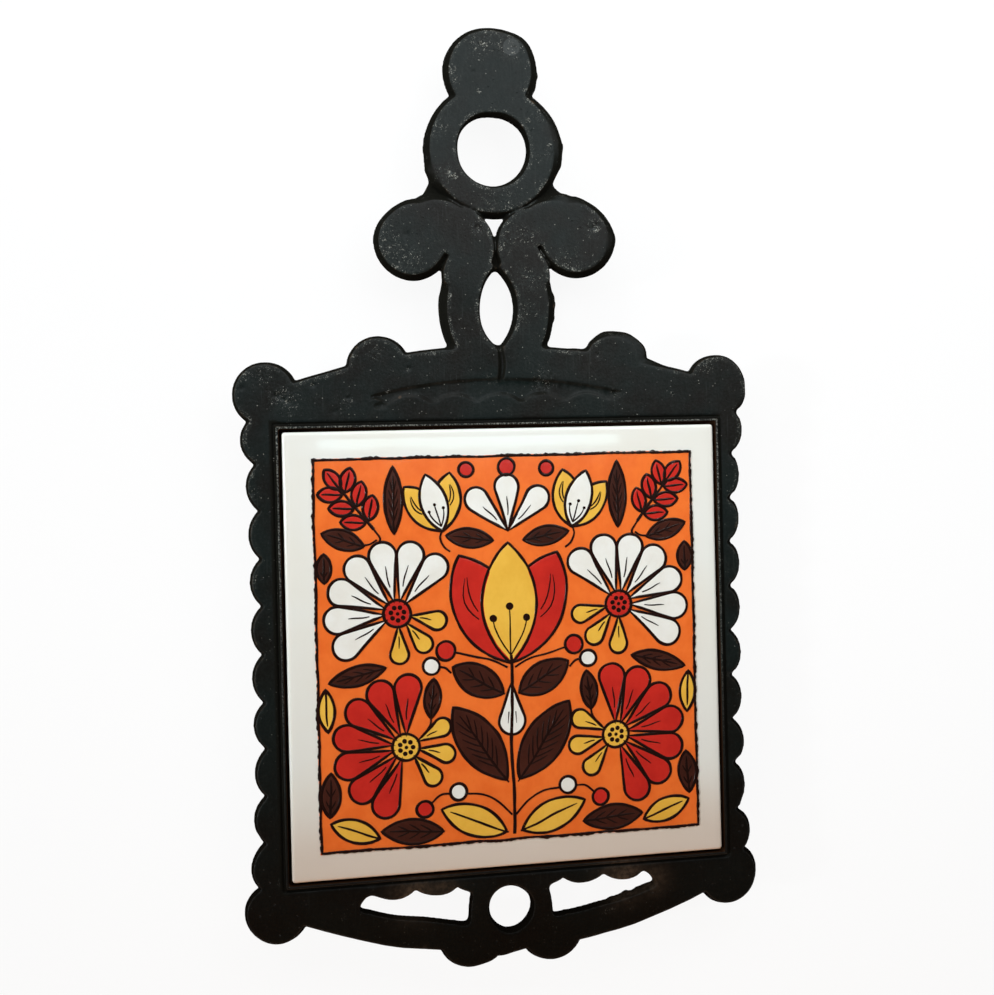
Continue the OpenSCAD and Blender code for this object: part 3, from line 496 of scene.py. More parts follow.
def painted_iron():
    """Satin black paint on a sand-cast skin, rubbed and specked on the face, blacker below it; with painted
    shade and glints.
    """
    slate = (0.0060, 0.0094, 0.0087)
    brown_black = (0.0052, 0.0042, 0.0032)
    # Wall black, also laid as painted shade on steps, the groove and low places
    wall_and_shade_black = (0.0080, 0.0078, 0.0062)
    bloom_brown = (0.085, 0.056, 0.037)
    rubbed = (0.022, 0.026, 0.024)
    bare_speck = (0.34, 0.34, 0.30)
    smooth_chip = (0.034, 0.038, 0.037)
    iron_bottom_shade = (0.0028, 0.0017, 0.0010)
    inner_brown = (0.030, 0.013, 0.006)
    rust = (0.085, 0.055, 0.034)
    iron = Finish("painted_iron")
    ramp, times, plus, most, mix, bump = iron.ramp, iron.times, iron.plus, iron.most, iron.mix, iron.bump
    names = ("worn", "depth", "rim", "brink", "nick", "bloom", "dull", "seam", "relief")
    worn, depth, rim, brink, nick, bloom, dull, seam, relief = (iron.attribute(name) for name in names)
    geometry = iron.add("ShaderNodeNewGeometry").outputs
    up_share = iron.part(geometry["Normal"], "Z")
    place_y = iron.part(iron.place, "Y")
    clouds = iron.noise(24 * mm, 4.0, 0.6, 1.0)
    grain = iron.noise(0.9 * mm, 5.0, 0.65, 2.0)
    brushed = iron.noise(1.6 * mm, 3.0, 0.6, 3.0, (1.0, 0.22, 1.0))
    fine = iron.noise(0.38 * mm, 2.0, 0.5, 4.0)
    bits = iron.noise(1.9 * mm, 3.0, 0.7, 7.0)
    spotty = times(fine, plus(bits, 0.5))

    # Walls; painted shade on low relief steps, deep places, the step at the bead's foot and the groove;
    # rubbed brinks
    uneven = ramp(iron.noise(10 * mm, 3.0, 0.6, 14.0), 0.36, 0.64, 0.1, 0.95)
    relief_shade = times(ramp(up_share, 0.972, 0.994, 0.85, 0.0), uneven, relief)
    side = most(ramp(up_share, 0.70, 0.955, 1.0, 0.0), relief_shade, ramp(depth, 1.1, 1.9))
    step_shade = times(ramp(rim, 2.0, 2.4), ramp(rim, 3.0, 3.5, 0.9, 0.0))
    seam = ramp(seam, 0.25, 0.75)
    step_and_groove_shade = most(step_shade, seam)
    rubbed_edge = times(
        ramp(brink, 0.15, 0.5), ramp(brink, 1.0, 1.9, 1.0, 0.0),
        ramp(iron.noise(5 * mm, 3.0, 0.6, 12.0), 0.44, 0.60, 0.10, 1.0),
        ramp(place_y, -0.06, 0.08), ramp(rim, 4.5, 6.0))

    # Light specks: bare metal where rubbed, on the brinks, in the nicks and strewn; painted glints strewn
    # and on the bead
    patches = ramp(iron.noise(7 * mm, 3.0, 0.6, 5.0), 0.50, 0.72, 0.0, 0.40)
    wear = plus(worn, patches)
    specks = times(ramp(spotty, 0.64, 0.73), ramp(wear, 0.15, 0.9))
    # Strewn specks thin out towards the bottom: partly bare metal, partly painted glints
    stars = times(
        ramp(iron.cells(1.2 * mm, 11.0), 0.10, 0.18, 1.0, 0.0), ramp(bits, 0.40, 0.60, 0.1, 0.8),
        ramp(place_y, -0.12, 0.0, 0.15, 1.0))
    specks = plus(specks, times(stars, ramp(side, 0.0, 1.0, 1.0, 0.1)))
    edge_specks = times(rubbed_edge, ramp(spotty, 0.56, 0.66, 0.0, 0.7))
    torn = ramp(iron.noise(0.7 * mm, 3.0, 0.7, 13.0, (1.0, 2.2, 1.0)), 0.53, 0.60)
    specks = most(specks, edge_specks, times(ramp(nick, 0.20, 0.45), torn))
    # Painted glints on the bead's crest, fading out towards the bottom
    crest = ramp(depth, -0.72, -0.90)
    glint = times(crest, ramp(place_y, -0.11, 0.02, 0.0, 1.0))
    broken = ramp(iron.noise(0.6 * mm, 2.0, 0.5, 9.0), 0.48, 0.58, 0.0, 0.6)
    specks = plus(specks, times(glint, broken))

    scratch = ramp(iron.noise(0.55 * mm, 2.0, 0.5, 8.0, (1.0, 0.05, 1.0)), 0.60, 0.74)
    edge = ramp(geometry["Pointiness"], 0.508, 0.56)
    colour = mix(ramp(clouds, 0.38, 0.66), slate, brown_black)
    for share, layer in (
            (times(ramp(grain, 0.42, 0.66), ramp(wear, 0.1, 0.9, 0.22, 0.8)), rubbed),
            (times(scratch, 0.45), rubbed),
            (times(rubbed_edge, 0.45), rubbed),
            (ramp(worn, 1.10, 1.30), smooth_chip),
            (side, wall_and_shade_black),
            (times(edge, ramp(bits, 0.46, 0.62, 0.0, 0.45)), rust),
            # Painted shade: darker and browner towards the bottom end
            (ramp(place_y, -0.165, -0.03, 0.75, 0.0), iron_bottom_shade),
            (times(bloom, ramp(bits, 0.35, 0.65, 0.3, 0.9)), bloom_brown),
            (step_and_groove_shade, wall_and_shade_black),
            (ramp(rim, 1.0, 1.3, 0.8, 0.0), inner_brown),
            (times(specks, ramp(side, 0.0, 1.0, 1.0, 0.15)), bare_speck)):
        colour = mix(share, colour, layer)

    # The satin lies in the coat, which walls lack; less coat paints shade in low places, the groove, spots
    # and the bottom end
    satin = times(
        ramp(brushed, 0.3, 0.7, 1.0, 0.85), ramp(side, 0.0, 1.0, 1.0, 0.0),
        ramp(step_and_groove_shade, 0.0, 1.0, 1.0, 0.2), ramp(dull, 0.0, 1.0, 1.0, 0.0),
        ramp(place_y, -0.160, -0.132, 0.6, 1.0))
    normal = bump(grain, 0.16 * mm)
    normal = bump(ramp(iron.cells(2.2 * mm, 6.0), 0.08, 0.20), 0.14 * mm, normal)
    normal = bump(specks, 0.10 * mm, normal)
    iron.shader["Specular IOR Level"].default_value = 0.0
    iron.shader["Coat IOR"].default_value = 1.25
    iron.shader["Coat Roughness"].default_value = 0.40
    iron.tree.links.new(satin, iron.shader["Coat Weight"])
    iron.tree.links.new(normal, iron.shader["Coat Normal"])
    return iron.finish(colour, ramp(brushed, 0.3, 0.7, 0.55, 0.75), normal)


dress(casting, painted_iron(), "iron", "frame_casting")


# The tile: a pressed clay body with a raised key on its back, glazed off-white on the face and
# round the soft edge. It lies in the iron rim on an adhesive bed.
edge_ease = 1.1 * mm
key_pitch, key_side, key_height = 12.5 * mm, 9.0 * mm, 0.45 * mm
glaze_wave = 0.035 * mm
glaze_run = 2.4 * mm


def eased_lines(half, ease, steps, soft_steps):
    """Grid lines from -half to half, close together where the edge is eased."""
    soft = half - ease * (1 - np.linspace(0, 1, soft_steps + 1))
    return np.concatenate([-soft[::-1], np.linspace(-half + ease, half - ease, steps + 1)[1:-1], soft])


def eased_block(name, low, high, ease, steps, soft_steps=4):
    """A box with round edges and corners, as a grid on all six sides."""
    low, high = np.array(low), np.array(high)
    middle, half = (low + high) / 2, (high - low) / 2
    core = half - ease
    verts, faces = [], []
    for axis in range(3):
        across, up = (axis + 1) % 3, (axis + 2) % 3
        first, second = (eased_lines(half[i], ease, steps[i], soft_steps) for i in (across, up))
        for side in (-1, 1):
            base = len(verts)
            for a in first:
                for b in second:
                    corner = np.zeros(3)
                    corner[axis], corner[across], corner[up] = side * half[axis], a, b
                    inner = np.clip(corner, -core, core)
                    reach = corner - inner
                    verts.append(tuple(middle + inner + reach / np.linalg.norm(reach) * ease))
            for i in range(len(first) - 1):
                for j in range(len(second) - 1):
                    p = base + i * len(second) + j
                    quad = (p, p + len(second), p + len(second) + 1, p + 1)
                    faces.append(quad if side > 0 else quad[::-1])
    return new_piece(name, verts, faces)


def back_key_tree():
    """Geometry Nodes that set square keys in rows on the back of the tile."""
    tree, start, end = new_tree("tile_back_keys", {
        "Reach": "Float", "Rows": "Int", "Key": "Object", "Middle": "Vector"})
    rows = add_node(tree, "GeometryNodeMeshGrid", {
        "Size X": start["Reach"], "Size Y": start["Reach"],
        "Vertices X": start["Rows"], "Vertices Y": start["Rows"]})
    key = add_node(tree, "GeometryNodeObjectInfo", {"Object": start["Key"]})
    keys = add_node(tree, "GeometryNodeInstanceOnPoints", {
        "Points": rows.outputs[0], "Instance": key.outputs["Geometry"]})
    moved = add_node(tree, "GeometryNodeTransform", {
        "Geometry": keys.outputs[0], "Translation": start["Middle"]})
    real = add_node(tree, "GeometryNodeRealizeInstances", {0: moved.outputs[0]})
    both = add_node(tree, "GeometryNodeJoinGeometry", {0: real.outputs[0]})
    tree.links.new(start["Geometry"], both.inputs[0])
    tree.links.new(both.outputs[0], end.inputs[0])
    return tree


tile = eased_block("glazed_tile", tile_low + Vector((0, 0, key_height)), tile_high, edge_ease, (90, 90, 3))
for vertex in tile.data.vertices:
    if vertex.co.z > tile_high.z - edge_ease / 2:
        swell = noise.noise(vertex.co / (16 * mm)) + 0.4 * noise.noise(vertex.co / (5 * mm))
        edge_gap = min(tile_high.x - vertex.co.x, vertex.co.x - tile_low.x,
                       tile_high.y - vertex.co.y, vertex.co.y - tile_low.y)
        vertex.co.z -= glaze_wave * (0.7 + 0.5 * swell) * min(1.0, edge_gap / (10 * mm))

key = eased_block("tile_key", (-key_side / 2, -key_side / 2, 0),
                  (key_side / 2, key_side / 2, 2 * key_height), key_height * 0.8, (1, 1, 1), 1)
rows = int((tile_high.x - tile_low.x - key_side) / key_pitch) + 1
use_tree(tile, back_key_tree(), {
    "Reach": (rows - 1) * key_pitch, "Rows": rows, "Key": key,
    "Middle": (tile_middle.x, tile_middle.y, tile_low.z)})
tile = settled(tile)
bpy.data.objects.remove(key)


def glazed_clay():
    """Off-white glaze over the face and the soft edge, and bare buff clay below it."""
    glaze_white = (0.82, 0.82, 0.77)
    glaze_warm = (0.81, 0.79, 0.72)
    clay = (0.52, 0.40, 0.29)
    glaze_bottom_shade = (0.66, 0.52, 0.42)
    speck = (0.45, 0.36, 0.26)
    glaze = Finish("glazed_clay")
    clouds = glaze.noise(45 * mm, 3.0, 0.5, 1.0)
    dust = glaze.ramp(glaze.cells(9 * mm, 3.0), 0.030, 0.045, 1.0, 0.0)
    sand = glaze.noise(0.8 * mm, 4.0, 0.7, 4.0)
    foot = tile_high.z - glaze_run
    uneven_run = glaze.times(glaze.noise(7 * mm, 2.0, 0.5, 5.0), 0.9 * mm)
    height = glaze.plus(glaze.part(glaze.place, "Z"), uneven_run)
    glazed = glaze.ramp(height, foot + 0.2 * mm, foot + 0.6 * mm)
    face = glaze.mix(glaze.ramp(clouds, 0.4, 0.65), glaze_white, glaze_warm)
    # Painted shade: the glaze darker and browner towards the bottom edge
    face = glaze.mix(glaze.ramp(glaze.part(glaze.place, "Y"), -0.122, -0.092, 0.6, 0.0), face, glaze_bottom_shade)
    face = glaze.mix(glaze.times(dust, 0.6), face, speck)
    body = glaze.mix(glaze.ramp(sand, 0.35, 0.7), clay, tuple(0.75 * c for c in clay))
    colour = glaze.mix(glazed, body, face)
    rough_skin = glaze.times(sand, glaze.ramp(glazed, 0.0, 1.0, 1.0, 0.0))
    normal = glaze.bump(rough_skin, 0.15 * mm)
    normal = glaze.bump(glaze.noise(4.5 * mm, 2.0, 0.5, 2.0), 0.008 * mm, normal)
    return glaze.finish(colour, glaze.ramp(glazed, 0.0, 1.0, 0.85, 0.05), normal)


dress(tile, glazed_clay(), "glaze", "tile")


# The adhesive bed: pale silicone pressed flat between the tile and the ledge. It shows only as
# a line in the gap round the tile.
def silicone():
    pale, yellowed = (0.60, 0.57, 0.49), (0.42, 0.34, 0.22)
    bed = Finish("silicone")
    stain = bed.noise(6 * mm, 4.0, 0.6, 1.0)
    colour = bed.mix(bed.ramp(stain, 0.35, 0.7), pale, yellowed)
    return bed.finish(colour, bed.ramp(stain, 0.3, 0.7, 0.35, 0.55), bed.bump(stain, 0.1 * mm))


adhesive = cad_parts["tile_adhesive"]
adhesive.data.materials.clear()
adhesive.data.materials.append(silicone())


# The rubber tips: moulded cups pushed over the spigots of the four legs, with a rolled lip, two
# shallow grip rings and a hollow underneath that holds the table.
tip_steps = 56
tip_bore = 4.5 * mm
tip_floor = 2.2 * mm


def turned(name, profile, steps, centre):
    """A closed ring or cup from a profile of radii and heights, turned about a vertical axis."""
    verts, faces = [], []
    for step in range(steps):
        angle = 2 * math.pi * step / steps
        verts += [(centre.x + r * math.cos(angle), centre.y + r * math.sin(angle), z) for r, z in profile]
    count = len(profile)
    for step in range(steps):
        here, there = step * count, (step + 1) % steps * count
        faces += [(here + i, there + i, there + i + 1, here + i + 1) for i in range(count - 1)]
    return new_piece(name, verts, faces, turn_out=True)


def round_corner(r, z, radius, start, stop, steps=5):
    """Points of a round corner about (r, z), between two angles in degrees."""
    angles = [math.radians(start + (stop - start) * i / steps) for i in range(steps + 1)]
    return [(r + radius * math.cos(a), z + radius * math.sin(a)) for a in angles]


def moulded_rubber():
    black, bloom = (0.012, 0.012, 0.012), (0.045, 0.044, 0.042)
    tip = Finish("moulded_rubber")
    dust = tip.noise(2.5 * mm, 4.0, 0.65, 1.0)
    colour = tip.mix(tip.ramp(dust, 0.5, 0.75), black, bloom)
    return tip.finish(colour, tip.ramp(dust, 0.3, 0.7, 0.6, 0.8), tip.bump(dust, 0.05 * mm))


hollow_r, hollow_depth, ring_depth = 3.0 * mm, 0.7 * mm, 0.25 * mm
rubber = moulded_rubber()
for node in sorted(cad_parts):
    if not node.startswith("foot_tip"):
        continue
    low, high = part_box(node)
    centre = (low + high) / 2
    radius, top = (high.x - low.x) / 2, high.z
    profile = [(0, hollow_depth), (hollow_r * 0.7, hollow_depth * 0.8)]
    profile += round_corner(hollow_r + 0.4 * mm, 0.4 * mm, 0.4 * mm, 150, 270)
    profile += round_corner(radius - 0.8 * mm, 0.8 * mm, 0.8 * mm, 270, 360)
    for ring_z in (3.0 * mm, 4.6 * mm):
        profile += [(radius, ring_z - 0.45 * mm), (radius - ring_depth * 0.8, ring_z - 0.25 * mm),
                    (radius - ring_depth, ring_z), (radius - ring_depth * 0.8, ring_z + 0.25 * mm),
                    (radius, ring_z + 0.45 * mm)]
    profile += round_corner(radius - 0.5 * mm, top - 0.5 * mm, 0.5 * mm, 0, 90)
    profile += round_corner(tip_bore + 0.4 * mm, top - 0.4 * mm, 0.4 * mm, 90, 180)
    profile += [(tip_bore, tip_floor), (0, tip_floor)]
    tip = turned("rubber_" + node, profile, tip_steps, centre)
    dress(tip, rubber, "foot_rubber", node)


# The print: a folk pattern of tulips, carnations, sprigs, leaves and berries, fired on the glaze
# in six colours. All its places, lengths and widths are shares of half the panel's side, turns
# are degrees against the clock from straight up, and what stands beside the axis is mirrored.
ground_low, ground_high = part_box("print_ground")
panel_middle = Vector(((ground_low.x + ground_high.x) / 2, (ground_low.y + ground_high.y) / 2, 0))
panel_half = (ground_high.x - ground_low.x) / 2
glaze_z = ground_low.z
ground_z = ground_high.z
print_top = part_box("print_red")[1].z
line_width, line_flatness = 1.0 * mm, 0.20
edge_width = 1.15 * mm
hand_drift = 0.28 * mm
drift_size = 9 * mm
drift_seed = 7
hand_shake = 0.05 * mm
shake_size = 1.6 * mm
colour_slip = Vector((0.10, -0.07)) * mm
arc_step = 0.7 * mm

carnations = [
    ((0.58, 0.20), -40, 0.36, "white", "red"),
    ((0.55, -0.48), -78, 0.36, "red", "yellow"),
]
leaves = [
    ((0.04, -0.67), -35, (0.45, 0.19), "brown"),
    ((0.05, -0.94), -68, (0.34, 0.14), "yellow"),
    ((0.05, -0.23), -60, (0.28, 0.14), "brown"),
    ((0.09, 0.555), -82, (0.22, 0.08), "brown"),
    ((0.585, 0.62), 0, (0.31, 0.075), "brown"),
    ((0.75, 0.55), -72, (0.20, 0.08), "brown"),
    ((0.655, -0.075), -103, (0.27, 0.08), "brown"),
    ((0.95, -0.18), 177, (0.19, 0.065), "yellow"),
    ((0.94, -0.80), 3, (0.20, 0.08), "brown"),
    ((0.38, -0.92), -86, (0.29, 0.11), "brown"),
    ((0.70, -0.93), -70, (0.24, 0.10), "yellow"),
    ((0.945, 0.375), 0, (0.13, 0.06), "brown"),
    ((0.42, -0.33), 6, (0.18, 0.07), "brown"),
]
berries = [
    ((0.335, 0.00), 0.04, "red"),
    ((0.41, -0.075), 0.035, "white"),
    ((0.21, 0.92), 0.03, "red"),
    ((0.285, -0.725), 0.035, "white"),
    ((0.46, -0.80), 0.035, "red"),
]
tendrils = [
    [(0.02, -0.10), (0.10, -0.06), (0.20, -0.035), (0.295, -0.01)],
    [(0.31, -0.115), (0.34, -0.085), (0.373, -0.078)],
    [(0.01, -0.86), (0.08, -0.79), (0.16, -0.745), (0.245, -0.735)],
    [(0.325, -0.73), (0.38, -0.735), (0.43, -0.775)],
    [(0.34, 0.615), (0.35, 0.575), (0.33, 0.53), (0.30, 0.505)],
    [(0.69, 0.63), (0.66, 0.585), (0.665, 0.56)],
    [(0.75, 0.55), (0.71, 0.555), (0.675, 0.575)],
    [(0.42, -0.33), (0.425, -0.37), (0.45, -0.41)],
]


# What has been drawn so far: outlines and veins as inked lines, and pads of colour
drawn_lines = []
drawn_pads = {"red": [], "yellow": [], "white": [], "brown": [], "line": []}


def standing(place_share, turn):
    """A matrix that takes a motif from its own foot to its place in the panel."""
    x, y = (share * panel_half for share in place_share)
    return Matrix.Translation((x, y, 0)) @ Matrix.Rotation(math.radians(turn), 4, "Z")


def mirrored(draw, place_share, turn, *details):
    """Draws a motif right and left of the axis."""
    place = standing(place_share, turn)
    draw(place, *details)
    draw(Matrix.Diagonal((-1, 1, 1, 1)) @ place, *details)


def arc(centre, radius, start, stop):
    """Points of an arc, from one angle to another in radians."""
    steps = max(6, int(abs(stop - start) * radius / arc_step))
    return [(centre[0] + radius * math.cos(start + (stop - start) * i / steps),
             centre[1] + radius * math.sin(start + (stop - start) * i / steps)) for i in range(steps + 1)]


def leaf_arcs(size_share):
    """A leaf's length, the radius of its two arcs, and how far their middles lie from its rib."""
    length, width = (share * panel_half for share in size_share)
    radius = (length ** 2 + width ** 2) / (4 * width)
    return length, radius, radius - width / 2


def leaf_outline(size_share, grow):
    """A pointed leaf from its foot at the origin along Y, grown by a margin."""
    length, radius, reach = leaf_arcs(size_share)
    half_turn = math.acos(reach / (radius + grow))
    right = arc((-reach, length / 2), radius + grow, -half_turn, half_turn)
    left = arc((reach, length / 2), radius + grow, math.pi - half_turn, math.pi + half_turn)
    return right + left[1:-1]


def drop_outline(size_share, grow):
    """A round-ended petal from its point at the origin along Y, grown by a margin."""
    length, radius = (share * panel_half for share in size_share)
    half_angle = math.asin(radius / length)
    foot = grow / math.sin(half_angle)
    round_end = arc((0, length), radius + grow, -half_angle, math.pi + half_angle)
    side = [(round_end[0][0] * t, -foot + (round_end[0][1] + foot) * t) for t in (0.0, 0.25, 0.5, 0.75)]
    other = [(-x, y) for x, y in side[:0:-1]]
    return side + round_end + other


def berry_outline(radius_share, grow):
    return arc((0, 0), radius_share * panel_half + grow, 0, 2 * math.pi)[:-1]


def inside_leaf(point, size_share, grow):
    length, radius, reach = leaf_arcs(size_share)
    return all(math.hypot(point[0] - side * reach, point[1] - length / 2) < radius + grow
               for side in (-1, 1))


def ink_line(place, outline, closed=True, width=1.0, taper=False):
    """Draws a line of the key at its place. A tapered one runs out to a point at both ends."""
    drawn_lines.append(([place @ Vector((x, y, 0)) for x, y in outline], closed, width, taper))


def fine_line(place, points, width=0.5):
    ink_line(place, points, closed=False, width=width, taper=True)


def pad(place, outline, colour, level=0.0):
    """Lays a pad of colour at its place. A higher level lies over its neighbours."""
    drawn_pads[colour].append(([place @ Vector((x, y, 0)) for x, y in outline], level))


def shape(place, outline_of, size_share, colour, level=0.0):
    """A pad of colour with its line round it."""
    pad(place, outline_of(size_share, 0.25 * line_width), colour, level)
    ink_line(place, outline_of(size_share, line_width / 2))


def leaf_veins(place, size_share, pairs):
    """The midrib and the side veins of a leaf."""
    length, width = (share * panel_half for share in size_share)
    rib = [(0.02 * width * math.sin(6 * t), -0.06 * length + t * 0.96 * length)
           for t in np.linspace(0, 1, 12)]
    fine_line(place, rib, 0.8)
    for i in range(pairs):
        t = 0.16 + 0.6 * i / pairs
        reach = 0.34 * width * math.sin(math.pi * min(0.9, t + 0.18))
        for side in (-1, 1):
            vein = [(side * reach * s, length * (t + 0.16 * s + 0.05 * s * s))
                    for s in np.linspace(0.04, 1, 6)]
            fine_line(place, vein)


def leaf(place, size_share, colour, level=0.0):
    shape(place, leaf_outline, size_share, colour, level)
    leaf_veins(place, size_share, int(size_share[0] / 0.075) if colour == "brown" else 0)


def petal_fan(place, count, step, gap_share, size_share, colour):
    """Petals side by side, each with a short vein."""
    for i in range(count):
        petal = place @ standing((0, 0), (i - (count - 1) / 2) * step) @ standing((0, gap_share), 0)
        shape(petal, drop_outline, size_share, colour)
        length = size_share[0] * panel_half
        vein = [(0.012 * length * math.sin(5 * t), length * (0.25 + 0.5 * t)) for t in np.linspace(0, 1, 7)]
        fine_line(petal, vein)


def heart_dots(place, radius_share, count):
    """Small dark dots on the heart of a flower."""
    for i in range(count):
        angle = 2 * math.pi * i / count
        dot = place @ standing(
            (0.55 * radius_share * math.cos(angle), 0.55 * radius_share * math.sin(angle)), 0)
        pad(dot, berry_outline(0.22 * radius_share, 0), "line", 1.0)


def carnation(place, size_share, petals, heart):
    gap = 0.24 * size_share
    petal_fan(place, 7, 27, gap, (0.6 * size_share, 0.17 * size_share), petals)
    petal_fan(place @ standing((0, 0), 180), 3, 38, gap, (0.34 * size_share, 0.11 * size_share), "yellow")
    shape(place, berry_outline, 0.17 * size_share, heart, 0.3)
    heart_dots(place, 0.17 * size_share, 7)
    pad(place, berry_outline(0.03 * size_share, 0), "line", 1.0)


def tulip(place, size_share, heart, wings):
    """A pointed heart petal in front of two wings, with lines that rise from the foot."""
    wing_size = (size_share[0], 1.1 * size_share[1])
    length = size_share[0] * panel_half
    for side in (-1, 1):
        wing = place @ standing((0, 0), 25 * side)
        pad(wing, leaf_outline(wing_size, 0.25 * line_width), wings)
        runs = [[]]
        turn = Matrix.Rotation(math.radians(25 * side), 4, "Z")
        for x, y in leaf_outline(wing_size, line_width / 2) * 2:
            seen = turn @ Vector((x, y, 0))
            if inside_leaf(seen, size_share, 0.3 * line_width):
                runs.append([])
            else:
                runs[-1].append((x, y))
        ink_line(wing, max(runs, key=len), closed=False)
        for lean in (0.16, 0.30):
            rib = [(-side * lean * size_share[1] * panel_half * math.sin(math.pi * t * 0.9),
                    length * (0.32 + 0.5 * t)) for t in np.linspace(0, 1, 9)]
            rib = [p for p in rib if not inside_leaf(turn @ Vector((*p, 0)), size_share, line_width)]
            fine_line(wing, rib)
    shape(place, leaf_outline, size_share, heart, 0.6)
    for lean in (-1, 0, 1):
        stamen = [(lean * 0.16 * size_share[1] * panel_half * math.sin(math.pi * t / 2) * 2,
                   length * (0.05 + (0.42 - 0.10 * abs(lean)) * t)) for t in np.linspace(0, 1, 9)]
        fine_line(place, stamen, 0.55)
        tip_x, tip_y = (value / panel_half for value in stamen[-1])
        pad(place @ standing((tip_x, tip_y), 0), berry_outline(0.035 * size_share[0], 0), "line", 1.2)


def sprig(place, size_share, colour, pairs=3, step=0.09, lean=50, gap=0.02):
    stalk = [(0, t * pairs * step * panel_half) for t in np.linspace(0, 1, 10)]
    ink_line(place, stalk, closed=False)
    for i in range(1, pairs + 1):
        for side in (-1, 1):
            foot = place @ standing((0, (i - 0.5) * step), -side * lean) @ standing((0, gap), 0)
            leaf(foot, size_share, colour)
    leaf(place @ standing((0, pairs * step), 0), size_share, colour)


def draw_pattern():
    ink_line(standing((0, 0), 0), [(0.004 * panel_half * math.sin(9 * t), panel_half * (-0.96 + 0.92 * t))
                                   for t in np.linspace(0, 1, 60)], closed=False, width=1.15)
    tulip(standing((0, -0.07), 0), (0.60, 0.27), "yellow", "red")
    petal_fan(standing((0, 0.60), 0), 3, 44, 0.03, (0.20, 0.055), "white")
    shape(standing((0, 0.93), 0), berry_outline, 0.035, "red")
    drop = standing((0, -0.20), 180)
    shape(drop, drop_outline, (0.18, 0.06), "white", 0.3)
    for side in (-1, 1):
        vein = [(side * x * panel_half, y * panel_half) for x, y in ((0.018, 0.13), (0.022, 0.19))]
        fine_line(drop, vein)
    for flower in carnations:
        mirrored(carnation, *flower)
    mirrored(tulip, (0.34, 0.62), -16, (0.28, 0.12), "white", "yellow")
    mirrored(sprig, (0.69, 0.63), -38, (0.11, 0.06), "red")
    for blade in leaves:
        mirrored(leaf, *blade)
    for place_share, radius, colour in berries:
        mirrored(shape, place_share, 0, berry_outline, radius, colour)
    for route in tendrils:
        mirrored(ink_line, (0, 0), 0, smooth_route(route), False, 0.7)


def smooth_route(route_shares, steps=8):
    """Points on a smooth curve through the route's points (Catmull-Rom)."""
    ends = [Vector((x * panel_half, y * panel_half)) for x, y in route_shares]
    ends = [2 * ends[0] - ends[1]] + ends + [2 * ends[-1] - ends[-2]]
    curve = []
    for a, b, c, d in zip(ends, ends[1:], ends[2:], ends[3:]):
        for t in np.linspace(0, 1, steps, endpoint=False):
            point = 0.5 * (2 * b + (c - a) * t + (2 * a - 5 * b + 4 * c - d) * t ** 2
                           + (3 * b - a - 3 * c + d) * t ** 3)
            curve.append((point.x, point.y))
    curve.append(tuple(ends[-2]))
    return curve


def drifted(point):
    """The point as a hand draws it: off by a slow drift and a quick shake."""
    drift = noise.noise_vector(Vector((point.x, point.y, 0)) / drift_size)
    shake = noise.noise_vector(Vector((point.x, point.y, 0.05)) / shake_size)
    return Vector((point.x + drift.x * hand_drift + shake.x * hand_shake,
                   point.y + drift.y * hand_drift + shake.y * hand_shake))


def panel_edge(spacing=0.55 * mm):
    """The dark line round the panel, ragged along its outer side."""
    half = panel_half - 0.75 * edge_width
    steps = int(2 * half / spacing)
    side = [(-half + 2 * half * i / steps, half) for i in range(steps)]
    return side + [(y, -x) for x, y in side] + [(-x, -y) for x, y in side] + [(-y, x) for x, y in side]


def ink_tree():
    """Geometry Nodes that lay a low round bead of ink along every line."""
    tree, start, end = new_tree("ink_beads", {"Flatness": "Float", "Sides": "Int", "Ink": "Material"})
    upright = add_node(tree, "GeometryNodeSetCurveNormal", {"Curve": start["Geometry"]}, mode="Z_UP")
    ring = add_node(tree, "GeometryNodeCurvePrimitiveCircle", {"Radius": 1.0, "Resolution": start["Sides"]})
    low = add_node(tree, "ShaderNodeCombineXYZ", {0: 1.0, 1: start["Flatness"], 2: 1.0})
    flat = add_node(tree, "GeometryNodeTransform", {"Geometry": ring.outputs[0], "Scale": low.outputs[0]})
    width = add_node(tree, "GeometryNodeInputRadius")
    bead = add_node(tree, "GeometryNodeCurveToMesh", {
        "Curve": upright.outputs[0], "Profile Curve": flat.outputs[0], "Scale": width.outputs[0],
        "Fill Caps": True})
    real = add_node(tree, "GeometryNodeRealizeInstances", {0: bead.outputs[0]})
    inked = add_node(tree, "GeometryNodeSetMaterial", {
        "Geometry": real.outputs[0], "Material": start["Ink"]})
    tree.links.new(inked.outputs[0], end.inputs[0])
    return tree


def enamel(name, colour, deep, shine=0.10, reflection=0.5):
    """Fired colour: glossy, a little uneven in tone, with a fine orange peel and pinholes."""
    coat = Finish(name)
    tone = coat.noise(11 * mm, 4.0, 0.6, 1.0)
    streak = coat.noise(1.6 * mm, 3.0, 0.6, 2.0, (1.0, 0.5, 1.0))
    peel = coat.noise(1.9 * mm, 2.0, 0.5, 3.0)
    holes = coat.ramp(coat.cells(6.5 * mm, 4.0), 0.022, 0.034, 1.0, 0.0)
    shade = coat.mix(coat.ramp(tone, 0.35, 0.70), colour, deep)
    shade = coat.mix(coat.ramp(streak, 0.45, 0.75, 0.0, 0.35), shade, deep)
    shade = coat.mix(coat.times(holes, 0.7), shade, tuple(0.25 * c for c in deep))
    roughness = coat.ramp(tone, 0.3, 0.7, shine, shine + 0.10)
    normal = coat.bump(peel, 0.035 * mm)
    normal = coat.bump(holes, -0.05 * mm, normal)
    coat.shader["Specular IOR Level"].default_value = reflection
    return coat.finish(shade, roughness, normal)


